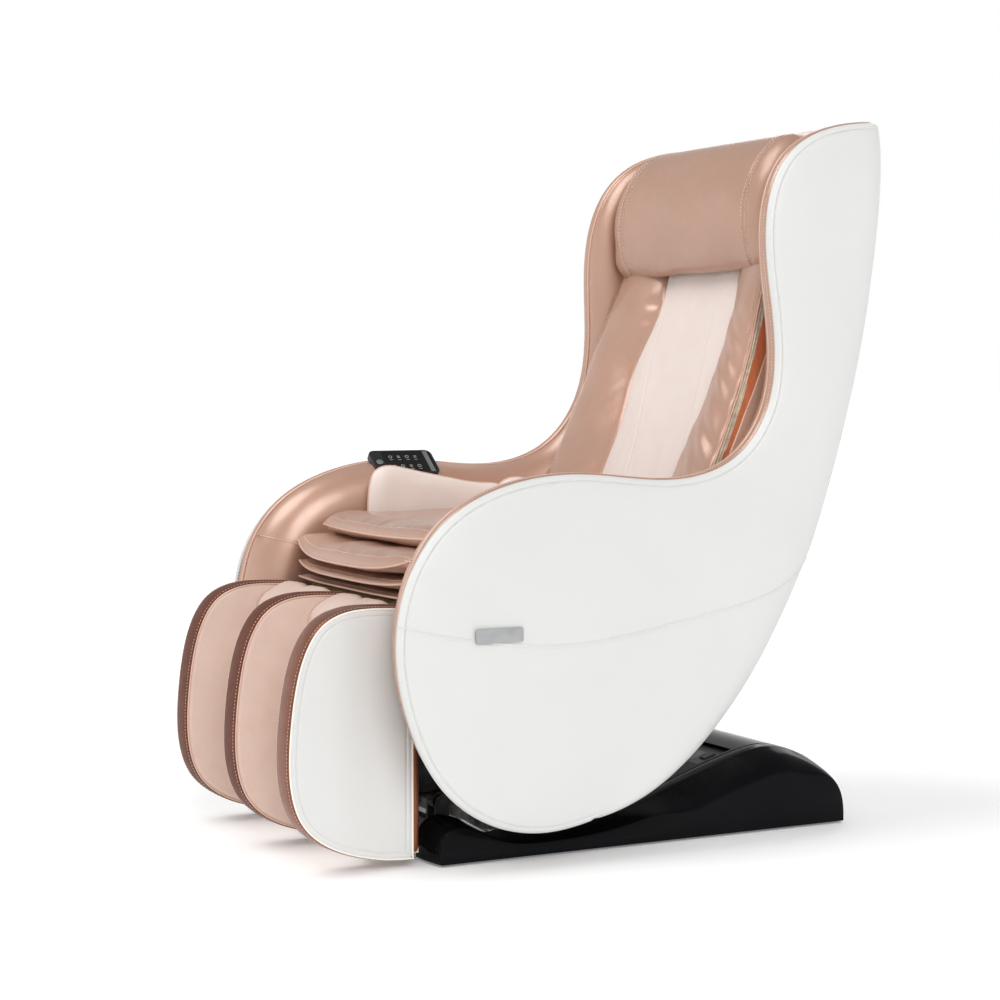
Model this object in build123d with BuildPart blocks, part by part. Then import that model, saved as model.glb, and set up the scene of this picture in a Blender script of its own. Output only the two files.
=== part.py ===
"""Massage chair: padded one-piece body on a sled base, with a swinging leg rest.

Frame: millimetres, +Z up, floor at Z = 0, the sitter faces -Y, +X is the sitter's left.
The origin is the middle of the bounding box's bottom. Profiles are drawn in the side view
as (y, z) pairs measured from a vertical datum through the seat, which lies at Y = DATUM_Y.
"""
import os
from math import cos, hypot, radians, sin

from build123d import *

os.makedirs("parts", exist_ok=True)

# ---------------------------------------------------------------- driving dimensions
DATUM_Y = 58              # the seat datum sits this far behind the middle of the box
GAP = 0.3                 # clearance between neighbouring pieces
PIN_FIT = 0.05            # radial clearance of a pin in its bore

TOP_Z = 1122              # top of the back
BEND_Z = 457              # above this height the sides lean inwards
SIDE_OUT, SIDE_OUT_TOP = 352, 284        # outer face of the side covers, at the arm and at the top
COVER_IN, COVER_IN_TOP = 325, 262        # inner face of the side covers
BOARD_IN, BOARD_IN_TOP = 312, 250        # inner face of the side boards
LINING_IN, LINING_IN_TOP = 247.5, 236    # inner face of the arm linings
RIM_WIDTH = 16            # depth of the leather rim round the edge of a side board
LINING_BOTTOM = 90        # the thick arm lining starts at this height
BACK_SKIN = 14            # thickness of the padded back cover

RECLINE_PIVOT = (-150, 300)
LEG_PIVOT = (-395, 370)
PILLOW_PIVOT = (340, 1114)
FRAME_X = 166             # inner face of the steel side frames
UPRIGHT_X = 150           # inner face of the base uprights
PLATE = 6                 # thickness of the steel plates

BASE_HALF = 270           # half width of the sled base
RUNNER_IN = 195           # inner face of the sled runners
WALL = 4                  # wall of the moulded base covers

BACK_TILT = 20.73         # lean of the backrest from the vertical
BACK_ORIGIN = (188, 545)  # a point on the rear plane of the back pad
PAD_HALF = 231            # half width of seat and back pads
CENTRE_HALF = 104         # half width of the middle back pad
PAD_REAR = 4              # gap in front of the roller plane
CENTRE_FACE, BOLSTER_FACE = 38, 62       # front faces of the back pads above the rear plane
PAD_LOW, PAD_HIGH = -95, 545             # ends of the back pads along the back

LEG_WALL = 54             # thickness of one calf wall
LEG_WALL_X = 218          # centre of the outer calf walls
LEG_BACK = -371           # rear plane of the calf walls
LEG_X = 109               # centre of each calf channel
PUSH_DROP = 62            # height of the leg lifter's rod below the leg pivot
LEG_LIFT_RANGE = 80       # degrees

ROLLER_R = 18
CARRIAGE_HALF = 112


# ---------------------------------------------------------------- helpers
def at(y, z):
    """A side-view point, moved from the seat datum into the part's frame."""
    return (y + DATUM_Y, z)


def along(points):
    return [at(y, z) for y, z in points]


def side_plane(x):
    """The side-view plane at a given x; its local axes are Y and Z."""
    return Plane.YZ.offset(x)


def back_plane(height=0.0):
    """A plane parallel to the backrest: local x is X, local y runs up the back."""
    y, z = at(*BACK_ORIGIN)
    lean = radians(BACK_TILT)
    flat = Plane(origin=(0, y, z), x_dir=(1, 0, 0), z_dir=(0, -cos(lean), sin(lean)))
    return flat.offset(height)


def back_point(up, out):
    """A point given along and out of the backrest, as side-view (y, z) about the datum."""
    lean = radians(BACK_TILT)
    y, z = BACK_ORIGIN
    return (y + up * sin(lean) - out * cos(lean), z + up * cos(lean) + out * sin(lean))


def save(name, part):
    part.label = name
    export_step(part, f"parts/{name}.step")


def mirrored(part):
    """The same piece on the other side of the chair."""
    return mirror(part, about=Plane.YZ)


def plank(points, x_from, x_to):
    """A straight-edged side-view profile between two x values."""
    with BuildPart() as piece:
        with BuildSketch(side_plane(x_from)):
            with BuildLine():
                Polyline(*along(points), close=True)
            make_face()
        extrude(amount=x_to - x_from)
    return piece.part


def tube(y, z, x_from, x_to, size, wall=2.5):
    """A square steel tube running across the chair."""
    with BuildPart() as piece:
        with BuildSketch(side_plane(x_from)):
            with Locations(at(y, z)):
                Rectangle(size, size)
                Rectangle(size - 2 * wall, size - 2 * wall, mode=Mode.SUBTRACT)
        extrude(amount=x_to - x_from)
    return piece.part


# ---------------------------------------------------------------- side view of the body
# from the rear top corner forward over the wing and arm, under the seat and up the back
BODY_EDGE = [(454, 1122), (342, 1108), (284, 1082), (244, 1042), (217, 975), (212, 890),
             (219, 790), (202, 673), (141, 597), (35, 564), (-122, 574), (-271, 556),
             (-365, 505), (-415, 439), (-437, 350), (-416, 219), (-361, 122), (-285, 68),
             (-200, 50), (-115, 62), (9, 108), (116, 189), (225, 341), (307, 509), (371, 681),
             (428, 903), (452, 1095)]


def moved_in(points, inset, start_way, end_way):
    """The points of a curve moved to its left by inset; the ways are its end directions."""
    moved = []
    last = len(points) - 1
    for index, (y, z) in enumerate(points):
        if index == 0:
            dy, dz = start_way
        elif index == last:
            dy, dz = end_way
        else:
            dy = points[index + 1][0] - points[index - 1][0]
            dz = points[index + 1][1] - points[index - 1][1]
        length = hypot(dy, dz)
        moved.append((y - dz / length * inset, z + dy / length * inset))
    return moved


def body_face(inset=0.0):
    """Side view of the one-piece body, its edge moved inwards by inset."""
    edge = moved_in(BODY_EDGE, inset, (-1, 0), (0.1, 1))
    edge[0] = (BODY_EDGE[0][0] - inset, BODY_EDGE[0][1] - inset)
    with BuildSketch(Plane.XY) as face:
        with BuildLine():
            curve = Spline(*along(edge))
            Line(curve @ 1, curve @ 0)
        make_face()
    return face.sketch


def front_region():
    """Everything in front of a line that runs inside the body from its top to its bottom."""
    with BuildSketch(Plane.XY) as region:
        with BuildLine():
            Polyline(*along([(432, 1140), (432, 1100), (260, 760), (230, 600), (60, 400),
                             (-190, 20), (-600, 20), (-600, 1140)]), close=True)
        make_face()
    return region.sketch


def lean_slab(x_in, x_in_top, x_out, x_out_top):
    """Front-view band of one side, upright to BEND_Z and leaning inwards above it."""
    with BuildPart() as slab:
        with BuildSketch(Plane.XZ.offset(-700)):
            with BuildLine():
                Polyline((x_in, 0), (x_out, 0), (x_out, BEND_Z), (x_out_top, TOP_Z + 10),
                         (x_in_top, TOP_Z + 10), (x_in, BEND_Z), close=True)
            make_face()
        extrude(amount=1400)
    return slab.part


def side_layer(face, x_in, x_in_top, x_out, x_out_top):
    """A side-view face given thickness between two leaning planes."""
    with BuildPart() as layer:
        add(Plane.YZ * face)
        extrude(amount=400, dir=(1, 0, 0))
        add(lean_slab(x_in, x_in_top, x_out, x_out_top), mode=Mode.INTERSECT)
    return layer.part


# ---------------------------------------------------------------- body: sides
def side_cover():
    return side_layer(body_face(), COVER_IN, COVER_IN_TOP, SIDE_OUT, SIDE_OUT_TOP)


def side_board():
    return side_layer(body_face(RIM_WIDTH + GAP), BOARD_IN, BOARD_IN_TOP,
                      COVER_IN - GAP, COVER_IN_TOP - GAP)


def front_prism():
    with BuildPart() as prism:
        add(Plane.YZ * front_region())
        extrude(amount=400, dir=(1, 0, 0))
    return prism.part


def arm_lining():
    """Thick inner pad of an arm and wing, with the narrow rim that wraps the board's edge."""
    pad_layer = (LINING_IN, LINING_IN_TOP, BOARD_IN - GAP, BOARD_IN_TOP - GAP)
    rim_layer = (BOARD_IN - GAP - 6, BOARD_IN_TOP - GAP - 6, COVER_IN - GAP, COVER_IN_TOP - GAP)
    with BuildPart() as lip:
        add(side_layer(body_face(3), *pad_layer))
        add(front_prism(), mode=Mode.INTERSECT)
    with BuildPart() as rim:
        add(side_layer(body_face(), *rim_layer))
        add(side_layer(body_face(RIM_WIDTH), 200, 200, 400, 400), mode=Mode.SUBTRACT)
        add(front_prism(), mode=Mode.INTERSECT)
    with BuildPart() as lining:
        add(side_layer(body_face(RIM_WIDTH + 1), *pad_layer))
        add(lip.part)
        with Locations((280, 0, LINING_BOTTOM - 500)):
            Box(200, 1400, 1000, mode=Mode.SUBTRACT)
        add(rim.part)
    return lining.part


def console_plane(height=0.0):
    """The tilted top of the right arm, where the control panel sits; local y runs back."""
    y, z = at(-143, 563)
    tilt = radians(38)
    flat = Plane(origin=(-288, y, z), x_dir=(cos(tilt), 0, -sin(tilt)),
                 z_dir=(sin(tilt), 0, cos(tilt)))
    return flat.offset(height)


CONSOLE = (62, 118)       # width and length of the control panel
CONSOLE_DEEP = 12
BUTTON_AT = (0, -46)
BUTTON_R = 6

save("side_cover_left", side_cover())
save("side_cover_right", mirrored(side_cover()))
save("side_board_left", side_board())
save("side_board_right", mirrored(side_board()))
save("arm_lining_left", arm_lining())

with BuildPart() as arm_lining_right:
    add(mirrored(arm_lining()))
    with BuildSketch(console_plane(-GAP)):
        Rectangle(140, CONSOLE[1] + 20)
    extrude(amount=90, mode=Mode.SUBTRACT)
save("arm_lining_right", arm_lining_right.part)

# ---------------------------------------------------------------- body: control panel
with BuildPart() as console_housing:
    with BuildSketch(console_plane()):
        RectangleRounded(*CONSOLE, 12)
    extrude(amount=CONSOLE_DEEP)
    fillet(console_housing.faces().sort_by(Axis.Z)[-1].edges().group_by(SortBy.LENGTH)[-1], 1.5)
    with BuildSketch(console_plane(CONSOLE_DEEP - 2)):
        with Locations((0, 9)):
            RectangleRounded(CONSOLE[0] - 8, CONSOLE[1] - 26, 8)
    extrude(amount=5, mode=Mode.SUBTRACT)
    with BuildSketch(console_plane(CONSOLE_DEEP - 6)):
        with Locations(BUTTON_AT):
            Circle(BUTTON_R + 0.4)
    extrude(amount=10, mode=Mode.SUBTRACT)
save("console_housing", console_housing.part)

with BuildPart() as console_glass:
    with BuildSketch(console_plane(CONSOLE_DEEP - 1.95)):
        with Locations((0, 9)):
            RectangleRounded(CONSOLE[0] - 8.4, CONSOLE[1] - 26.4, 7.8)
    extrude(amount=1.7)
save("console_glass", console_glass.part)

with BuildPart() as console_button:
    with BuildSketch(console_plane(CONSOLE_DEEP - 4.5)):
        with Locations(BUTTON_AT):
            Circle(BUTTON_R)
    extrude(amount=5.5)
    fillet(console_button.edges().group_by(Axis.Z)[-1], 0.6)
save("console_button", console_button.part)

# ---------------------------------------------------------------- body: blank badges on the sides
with BuildPart() as side_badges:
    with BuildSketch(side_plane(SIDE_OUT + GAP)):
        with Locations(at(-286, 348)):
            RectangleRounded(76, 21, 3)
    extrude(amount=2)
    mirror(about=Plane.YZ)
save("side_badges", side_badges.part)


# ---------------------------------------------------------------- body: back cover and top
def back_band_face():
    """Side view of the padded back cover: the rear curve and the same curve moved inwards."""
    with BuildSketch(Plane.XY) as band:
        add(body_face())
        add(body_face(BACK_SKIN), mode=Mode.SUBTRACT)
        with BuildSketch(mode=Mode.PRIVATE) as rear_region:
            with BuildLine():
                Polyline(*along([(30, 0), (700, 0), (700, 1200), (446, 1200), (437, 1105),
                                 (30, 250)]), close=True)
            make_face()
        add(rear_region.sketch, mode=Mode.INTERSECT)
    return band.sketch


with BuildPart() as back_cover:
    add(side_layer(back_band_face(), 0, 0, BOARD_IN - GAP, BOARD_IN_TOP - GAP))
    mirror(about=Plane.YZ)
save("back_cover", back_cover.part)

save("top_pad", plank([(352, 1086), (436, 1086), (436, 1119), (400, 1120), (352, 1119)],
                      -LINING_IN_TOP + 1, LINING_IN_TOP - 1))


# ---------------------------------------------------------------- body: back pads and pillow
def back_block(x_from, x_to, low, high, rear, front):
    with BuildPart() as block:
        with BuildSketch(back_plane(rear)):
            with Locations(((x_from + x_to) / 2, (low + high) / 2)):
                Rectangle(x_to - x_from, high - low)
        extrude(amount=front - rear)
    return block.part


back_pad = back_block(-CENTRE_HALF, CENTRE_HALF, PAD_LOW, PAD_HIGH, PAD_REAR, CENTRE_FACE)
save("back_pad", back_pad)

with BuildPart() as bolster_left:
    add(back_block(CENTRE_HALF + GAP, PAD_HALF, PAD_LOW, PAD_HIGH, PAD_REAR, BOLSTER_FACE))
    fillet(bolster_left.faces().sort_by(Axis.Y)[0].edges().filter_by(Axis.X, reverse=True), 14)
save("back_bolster_left", bolster_left.part)
save("back_bolster_right", mirrored(bolster_left.part))

with BuildPart() as back_liner:
    add(back_block(PAD_HALF + 1, LINING_IN_TOP + 1, -60, 520, -10, 34))
    mirror(about=Plane.YZ)
save("back_liner", back_liner.part)

PILLOW_HALF = 232
with BuildPart() as pillow:
    with BuildSketch(side_plane(-PILLOW_HALF)):
        with BuildLine():
            low_back = at(*back_point(365, BOLSTER_FACE + 0.8))
            high_back = at(*back_point(578, BOLSTER_FACE + 0.8))
            Line(low_back, high_back)
            Spline(high_back, *along([(304, 1102), (254, 1053), (233, 984), (243, 916)]), low_back)
        make_face()
    extrude(amount=2 * PILLOW_HALF)
save("pillow", pillow.part)


# ---------------------------------------------------------------- body: seat
def seat_layer(front, rear, low, high, half, nose):
    """A flat seat pad with a rounded front edge."""
    with BuildPart() as pad:
        with Locations((0, DATUM_Y + (front + rear) / 2, (low + high) / 2)):
            Box(2 * half, rear - front, high - low)
        front_edges = pad.faces().sort_by(Axis.Y)[0].edges().filter_by(Axis.X)
        fillet(front_edges, nose)
    return pad.part


save("seat_pan", plank([(-335, 367), (114, 367), (114, 377), (-335, 377)], -PAD_HALF, PAD_HALF))
save("seat_skirt", seat_layer(-366, 120, 377.3, 396, PAD_HALF, 8))
save("thigh_flap", seat_layer(-374, 110, 396.3, 422, PAD_HALF, 12))
save("seat_cushion", seat_layer(-380, 108, 422.3, 455.7, PAD_HALF, 15))
save("seat_top_flap", seat_layer(-332, 84, 456, 486, 200, 14))

HIP = [(-238, 459), (-234, 497), (-222, 543), (-196, 562), (-103, 548), (12, 530), (36, 512),
       (36, 459)]
save("hip_pad_left", plank(HIP, 208, LINING_IN - 2.5))
save("hip_pad_right", mirrored(plank(HIP, 208, LINING_IN - 2.5)))


# ---------------------------------------------------------------- body: steel frame
def frame_side():
    """One steel side frame: seat arm, pivot lobe and the arm that runs up the back."""
    y0, z0 = RECLINE_PIVOT
    arm = [back_point(-200, -5), back_point(440, -5), back_point(440, -60), back_point(-200, -60)]
    with BuildPart() as side:
        with BuildSketch(side_plane(FRAME_X)):
            with BuildLine():
                Polyline(*along([(-335, 342), (y0 - 40, 342), (y0 - 18, z0 - 12),
                                 (y0 + 18, z0 - 12), (y0 + 40, 342), (30, 342), (42, 252),
                                 (78, 252), (112, 330), (172, 330), (172, 366), (-335, 366)]),
                         close=True)
            make_face()
            with BuildLine():
                Polyline(*along(arm), close=True)
            make_face()
            with Locations(at(y0, z0)):
                Circle(20)
                Circle(10 + PIN_FIT, mode=Mode.SUBTRACT)
        extrude(amount=PLATE)
    return side.part


save("frame_side_left", frame_side())
save("frame_side_right", mirrored(frame_side()))

RECLINE_EYE = (40, 250)
RECLINE_X = 72            # the recline actuator lies this far left of the middle
EYE_PIN_R = 6
cross_half = FRAME_X - GAP
with BuildPart() as frame_cross_tubes:
    add(tube(-318, 354, -cross_half, cross_half, 24))
    add(tube(66, 276, -cross_half, cross_half, 24))
    for up in (-115, 425):
        add(tube(*back_point(up, -46), -cross_half, cross_half, 22))
    # clevis that the recline rod pulls on, welded under the low cross tube
    for x in (RECLINE_X - 16, RECLINE_X + 10):
        with BuildSketch(side_plane(x)):
            with BuildLine():
                Polyline(*along([(28, 240), (52, 240), (76, 258), (76, 264.5), (28, 264.5)]),
                         close=True)
            make_face()
        extrude(amount=PLATE)
    with BuildSketch(side_plane(RECLINE_X - 10)):
        with Locations(at(*RECLINE_EYE)):
            Circle(EYE_PIN_R)
    extrude(amount=20)
save("frame_cross_tubes", frame_cross_tubes.part)

with BuildPart() as side_spacers:
    for y, z in ((-290, 354), (70, 354)):
        add(tube(y, z, FRAME_X + PLATE + GAP, LINING_IN - GAP, 24))
    for up in (150, 400):
        y, z = back_point(up, -32)
        add(tube(y, z, FRAME_X + PLATE + GAP, LINING_IN_TOP, 22))
    mirror(about=Plane.YZ)
save("side_spacers", side_spacers.part)

# ---------------------------------------------------------------- body: massage rails and pump
RAIL_IN, RAIL_OUT = 120, 136
with BuildPart() as massage_rails:
    add(back_block(RAIL_IN, RAIL_OUT, -100.5, 410.5, -66, -36))
    with BuildSketch(back_plane(-58)):
        with Locations((RAIL_IN + 4, 155)):
            Rectangle(8, 490)
    extrude(amount=14, mode=Mode.SUBTRACT)
    mirror(about=Plane.YZ)
save("massage_rails", massage_rails.part)

with BuildPart() as air_pump:
    with Locations((-110, at(-40, 0)[0], 322)):
        Box(90, 130, 66)
    fillet(air_pump.edges().filter_by(Axis.Z), 12)
    with BuildSketch(Plane.XZ.offset(-at(25, 0)[0])):
        with Locations((-128, 322), (-92, 322)):
            Circle(7)
    extrude(amount=-16)
save("air_pump", air_pump.part)

# ---------------------------------------------------------------- leg lifter on the body
PUSH_Z = LEG_PIVOT[1] - PUSH_DROP
PUSH_REST = 52            # the rod's pin starts this far behind the leg pivot
with BuildPart() as leg_actuator:
    with BuildSketch(Plane.XZ.offset(-at(-245, 0)[0])):
        with Locations((0, PUSH_Z)):
            Circle(19)
            Circle(8 + PIN_FIT + 0.2, mode=Mode.SUBTRACT)
    extrude(amount=-170)
    with Locations((0, at(-45, 0)[0], PUSH_Z)):
        Box(56, 60, 50)
    with BuildSketch(Plane.XZ.offset(-at(-15, 0)[0])):
        with Locations((0, PUSH_Z)):
            Circle(21)
    extrude(amount=-30)
    with Locations((0, at(-55, 0)[0], PUSH_Z + 42)):
        Box(30, 24, 34)
save("leg_actuator", leg_actuator.part)

with BuildPart() as leg_push_rod:
    pin_y, pin_z = LEG_PIVOT[0] + PUSH_REST, PUSH_Z
    with BuildSketch(Plane.XZ.offset(-at(pin_y + 8, 0)[0])):
        with Locations((0, pin_z)):
            Circle(8)
    extrude(amount=-225)
    with BuildSketch(side_plane(-8)):
        with Locations(at(pin_y, pin_z)):
            Circle(10)
    extrude(amount=16)
    with BuildSketch(side_plane(-25)):
        with Locations(at(pin_y, pin_z)):
            Circle(5)
    extrude(amount=50)
save("leg_push_rod", leg_push_rod.part)

# hinge brackets on the front cross tube, each a pair of ears with its pin welded in
LUG = 10                  # half width of the leg lug between the ears
with BuildPart() as leg_brackets:
    for side in (-1, 1):
        for x in (side * LEG_X - LUG - 1 - PLATE, side * LEG_X + LUG + 1):
            with BuildSketch(side_plane(x)):
                with BuildLine():
                    Polyline(*along([(-330.3, 344), (-330.3, 362), (-395, 382), (-407, 370),
                                     (-395, 358), (-352, 344)]), close=True)
                make_face()
                with Locations(at(*LEG_PIVOT)):
                    Circle(12)
            extrude(amount=PLATE)
        with BuildSketch(side_plane(side * LEG_X - LUG - 9)):
            with Locations(at(*LEG_PIVOT)):
                Circle(7)
        extrude(amount=2 * LUG + 18)
save("leg_brackets", leg_brackets.part)

# ---------------------------------------------------------------- leg rest
LEG_FRONT = [(LEG_BACK, 12), (-445, 20), (-506, 42), (-545, 76), (-562, 120), (-566, 170),
             (-563, 220), (-555, 275), (-540, 325), (-511, 365), (-474, 381), (-430, 384),
             (LEG_BACK, 381)]


def leg_wall(centre):
    """A D-shaped padded wall beside or between the calves."""
    with BuildPart() as wall:
        with BuildSketch(side_plane(centre - LEG_WALL / 2)):
            with BuildLine():
                curve = Spline(*along(LEG_FRONT), tangents=[(-1, 0.05), (1, 0)])
                Line(curve @ 1, curve @ 0)
            make_face()
        extrude(amount=LEG_WALL)
    return wall.part


save("leg_wall_right", leg_wall(-LEG_WALL_X))
save("leg_wall_center", leg_wall(0))
save("leg_wall_left", leg_wall(LEG_WALL_X))

CHANNEL_FLOOR_R = 90
with BuildPart() as calf_pads:
    for side in (-1, 1):
        with BuildSketch(Plane.XY.offset(24)):
            with Locations((side * LEG_X, at(-405, 0)[0])):
                Rectangle(2 * (LEG_X - LEG_WALL / 2 - GAP), 67)
            with Locations((side * LEG_X, at(-500, 0)[0])):
                Circle(CHANNEL_FLOOR_R, mode=Mode.SUBTRACT)
        extrude(amount=306)
save("calf_pads", calf_pads.part)

with BuildPart() as leg_back_board:
    with BuildSketch(Plane.XZ.offset(-at(LEG_BACK + GAP, 0)[0])):
        with BuildLine():
            Polyline((-238, 20), (238, 20), (238, 340), (17, 340), (17, 240), (-17, 240),
                     (-17, 340), (-238, 340), close=True)
        make_face()
    extrude(amount=-9.7)
save("leg_back_board", leg_back_board.part)

# steel hinge lugs and the slotted lever that the push rod drives
BOARD_REAR = LEG_BACK + 10.3
SLOT_ANGLE = -50          # direction of the slot from the leg pivot at rest
with BuildPart() as leg_hinge_frame:
    for side in (-1, 1):
        with BuildSketch(side_plane(side * LEG_X - LUG)):
            with BuildLine():
                Polyline(*along([(BOARD_REAR, 300), (BOARD_REAR, 340.5), (-372, 345), (-382, 362),
                                 (-397, 358), (-408, 362), (-409, 376), (-395, 384), (-381, 374),
                                 (-372, 358), (-353, 342), (-353, 300)]), close=True)
            make_face()
            with Locations(at(*LEG_PIVOT)):
                Circle(14)
                Circle(7 + PIN_FIT, mode=Mode.SUBTRACT)
        extrude(amount=2 * LUG)
    slot_dir = (cos(radians(SLOT_ANGLE)), sin(radians(SLOT_ANGLE)))
    slot_mid = (LEG_PIVOT[0] + 71.5 * slot_dir[0], LEG_PIVOT[1] + 71.5 * slot_dir[1])
    for x in (-23.5, 17.5):
        with BuildSketch(side_plane(x)):
            with BuildLine():
                Polyline(*along([(BOARD_REAR, 338), (-350, 338), (-318, 296), (-326, 286),
                                 (BOARD_REAR, 286)]), close=True)
            make_face()
            with Locations(at(*slot_mid)):
                SlotOverall(40, 18, rotation=SLOT_ANGLE, mode=Mode.SUBTRACT)
        extrude(amount=PLATE)
save("leg_hinge_frame", leg_hinge_frame.part)

# ---------------------------------------------------------------- massage carriage
SHAFT_OUT = -50           # the kneading shaft lies this far behind the pad's rear plane
ARM_HALF = 55             # rollers sit this far above and below the shaft
ROLLER_OUT = -28
ARM_IN, ARM_THICK = 62, 8
ROLLER_WIDE = 24


def back_axis_plane(x):
    """A side-view plane whose local x runs up the back and local y out towards the sitter."""
    y, z = at(*BACK_ORIGIN)
    lean = radians(BACK_TILT)
    return Plane(origin=(x, y, z), x_dir=(0, sin(lean), cos(lean)), z_dir=(1, 0, 0))


with BuildPart() as carriage_frame:
    add(back_block(-CARRIAGE_HALF, CARRIAGE_HALF, -80, 80, -84, -79))
    for x in (-CARRIAGE_HALF, CARRIAGE_HALF - 5):
        add(back_block(x, x + 5, -60, 60, -84, -30))
    with BuildSketch(back_axis_plane(-CARRIAGE_HALF)):
        with Locations((0, SHAFT_OUT)):
            Circle(7)
    extrude(amount=2 * CARRIAGE_HALF)
    for x in (-119.5, CARRIAGE_HALF):
        for up in (-45, 45):
            add(back_block(x, x + 7.5, up - 12, up + 12, -57, -45))
save("carriage_frame", carriage_frame.part)

with BuildPart() as knead_motor:
    add(back_block(-40, 40, -70, -14, -78, -38))
    with BuildSketch(back_plane(-78)):
        with Locations((0, 40)):
            Rectangle(60, 44)
    extrude(amount=36)
save("knead_motor", knead_motor.part)


def knead_arm(x):
    """A rocking arm with a stub pin at each end; it turns on the kneading shaft."""
    with BuildPart() as arm:
        with BuildSketch(back_axis_plane(x)):
            with Locations((0, SHAFT_OUT)):
                Circle(14)
            with BuildLine():
                Polyline((-ARM_HALF - 8, ROLLER_OUT - 8), (-8, SHAFT_OUT - 8),
                         (8, SHAFT_OUT - 8), (ARM_HALF + 8, ROLLER_OUT - 8),
                         (ARM_HALF + 8, ROLLER_OUT + 6), (-ARM_HALF - 8, ROLLER_OUT + 6),
                         close=True)
            make_face()
            with Locations((0, SHAFT_OUT)):
                Circle(7 + PIN_FIT, mode=Mode.SUBTRACT)
        extrude(amount=ARM_THICK)
        with BuildSketch(back_axis_plane(x + ARM_THICK - 1)):
            with Locations((-ARM_HALF, ROLLER_OUT), (ARM_HALF, ROLLER_OUT)):
                Circle(4)
        extrude(amount=ROLLER_WIDE + 5)
    return arm.part


def roller(x, up):
    with BuildPart() as wheel:
        with BuildSketch(back_axis_plane(x)):
            with Locations((up, ROLLER_OUT)):
                Circle(ROLLER_R)
        extrude(amount=ROLLER_WIDE)
        fillet(wheel.edges().filter_by(GeomType.CIRCLE), 7)
        with BuildSketch(back_axis_plane(x)):
            with Locations((up, ROLLER_OUT)):
                Circle(4 + PIN_FIT)
        extrude(amount=ROLLER_WIDE, mode=Mode.SUBTRACT)
    return wheel.part


save("knead_arm_left", knead_arm(ARM_IN))
save("knead_arm_right", mirrored(knead_arm(ARM_IN)))
for row, up in (("upper", ARM_HALF), ("lower", -ARM_HALF)):
    wheel = roller(ARM_IN + ARM_THICK + 1.5, up)
    save(f"roller_{row}_left", wheel)
    save(f"roller_{row}_right", mirrored(wheel))

# ---------------------------------------------------------------- base: sled covers
SLED_TOP = [(-346, 20), (-338, 52), (-318, 64), (-285, 60), (-240, 40), (-150, 31), (-60, 37),
            (20, 54), (90, 79), (150, 100), (215, 119), (270, 127), (322, 113), (362, 88),
            (384, 48), (388, 12)]


FLOOR_GAP = 4             # the covers stop this far above the floor
EDGE_BAND = 12            # width of the sloping band along a runner's outer top edge
BAND_DROP = 8             # how far that band falls towards the outer face


def sled_face(inset=0.0, bottom=FLOOR_GAP):
    """Side view of the sled base with its top curve moved inwards by inset."""
    top = moved_in(SLED_TOP, -inset, (0, 1), (0, -1))
    with BuildSketch(Plane.XY) as face:
        with BuildLine():
            curve = Spline(*along(top))
            start, end = curve @ 0, curve @ 1
            Polyline(end, (end.X, bottom), (start.X, bottom), start)
        make_face()
    return face.sketch


with BuildPart() as runner_left:
    add(side_plane(RUNNER_IN) * sled_face())
    extrude(amount=BASE_HALF - EDGE_BAND - RUNNER_IN, dir=(1, 0, 0))
    add(side_plane(BASE_HALF - EDGE_BAND) * sled_face())
    add(side_plane(BASE_HALF) * sled_face(BAND_DROP))
    loft()
    add(side_plane(RUNNER_IN + WALL) * sled_face(WALL, -10))
    extrude(amount=BASE_HALF - EDGE_BAND - RUNNER_IN - WALL, dir=(1, 0, 0), mode=Mode.SUBTRACT)
save("base_runner_left", runner_left.part)
save("base_runner_right", mirrored(runner_left.part))


PANEL_X = 112             # the power panel sits towards the left side of the deck


def panel_plane(height=0.0):
    """The sloping face of the deck behind the body, where the power panel sits."""
    y, z = at(186, 109.4)
    slope = radians(16.5)
    flat = Plane(origin=(PANEL_X, y, z), x_dir=(1, 0, 0), z_dir=(0, -sin(slope), cos(slope)))
    return flat.offset(height)


PANEL = (150, 66)
DECK_HALF = RUNNER_IN - GAP
with BuildPart() as base_deck:
    add(side_plane(-DECK_HALF) * sled_face())
    extrude(amount=2 * DECK_HALF, dir=(1, 0, 0))
    add(side_plane(-DECK_HALF + WALL) * sled_face(WALL, -10))
    extrude(amount=2 * (DECK_HALF - WALL), dir=(1, 0, 0), mode=Mode.SUBTRACT)
    with Locations((0, at(-190, 0)[0], 50)):
        Box(500, 420, 200, mode=Mode.SUBTRACT)
    with BuildSketch(panel_plane(-20)):
        RectangleRounded(PANEL[0] + 1, PANEL[1] + 1, 4)
    extrude(amount=40, mode=Mode.SUBTRACT)
save("base_deck", base_deck.part)

SWITCH_AT, INLET_AT = (46, 4), (-34, 0)
with BuildPart() as power_panel:
    with BuildSketch(panel_plane(-8)):
        RectangleRounded(*PANEL, 4)
        with Locations(SWITCH_AT):
            Rectangle(16, 24, mode=Mode.SUBTRACT)
        with Locations(INLET_AT):
            Rectangle(31, 25, mode=Mode.SUBTRACT)
    extrude(amount=3)
save("power_panel", power_panel.part)

with BuildPart() as power_switch:
    with BuildSketch(panel_plane(-14)):
        with Locations(SWITCH_AT):
            Rectangle(14, 20)
    extrude(amount=11)
save("power_switch", power_switch.part)

with BuildPart() as power_inlet:
    with BuildSketch(panel_plane(-30)):
        with Locations(INLET_AT):
            Rectangle(30.6, 24.6)
    extrude(amount=25)
    with BuildSketch(panel_plane(-24)):
        with Locations(INLET_AT):
            Rectangle(25, 18)
    extrude(amount=30, mode=Mode.SUBTRACT)
    with BuildSketch(panel_plane(-24)):
        with Locations((INLET_AT[0] - 7, INLET_AT[1] - 2), (INLET_AT[0] + 7, INLET_AT[1] - 2),
                       (INLET_AT[0], INLET_AT[1] + 4)):
            Rectangle(2, 4)
    extrude(amount=8)
save("power_inlet", power_inlet.part)

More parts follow.
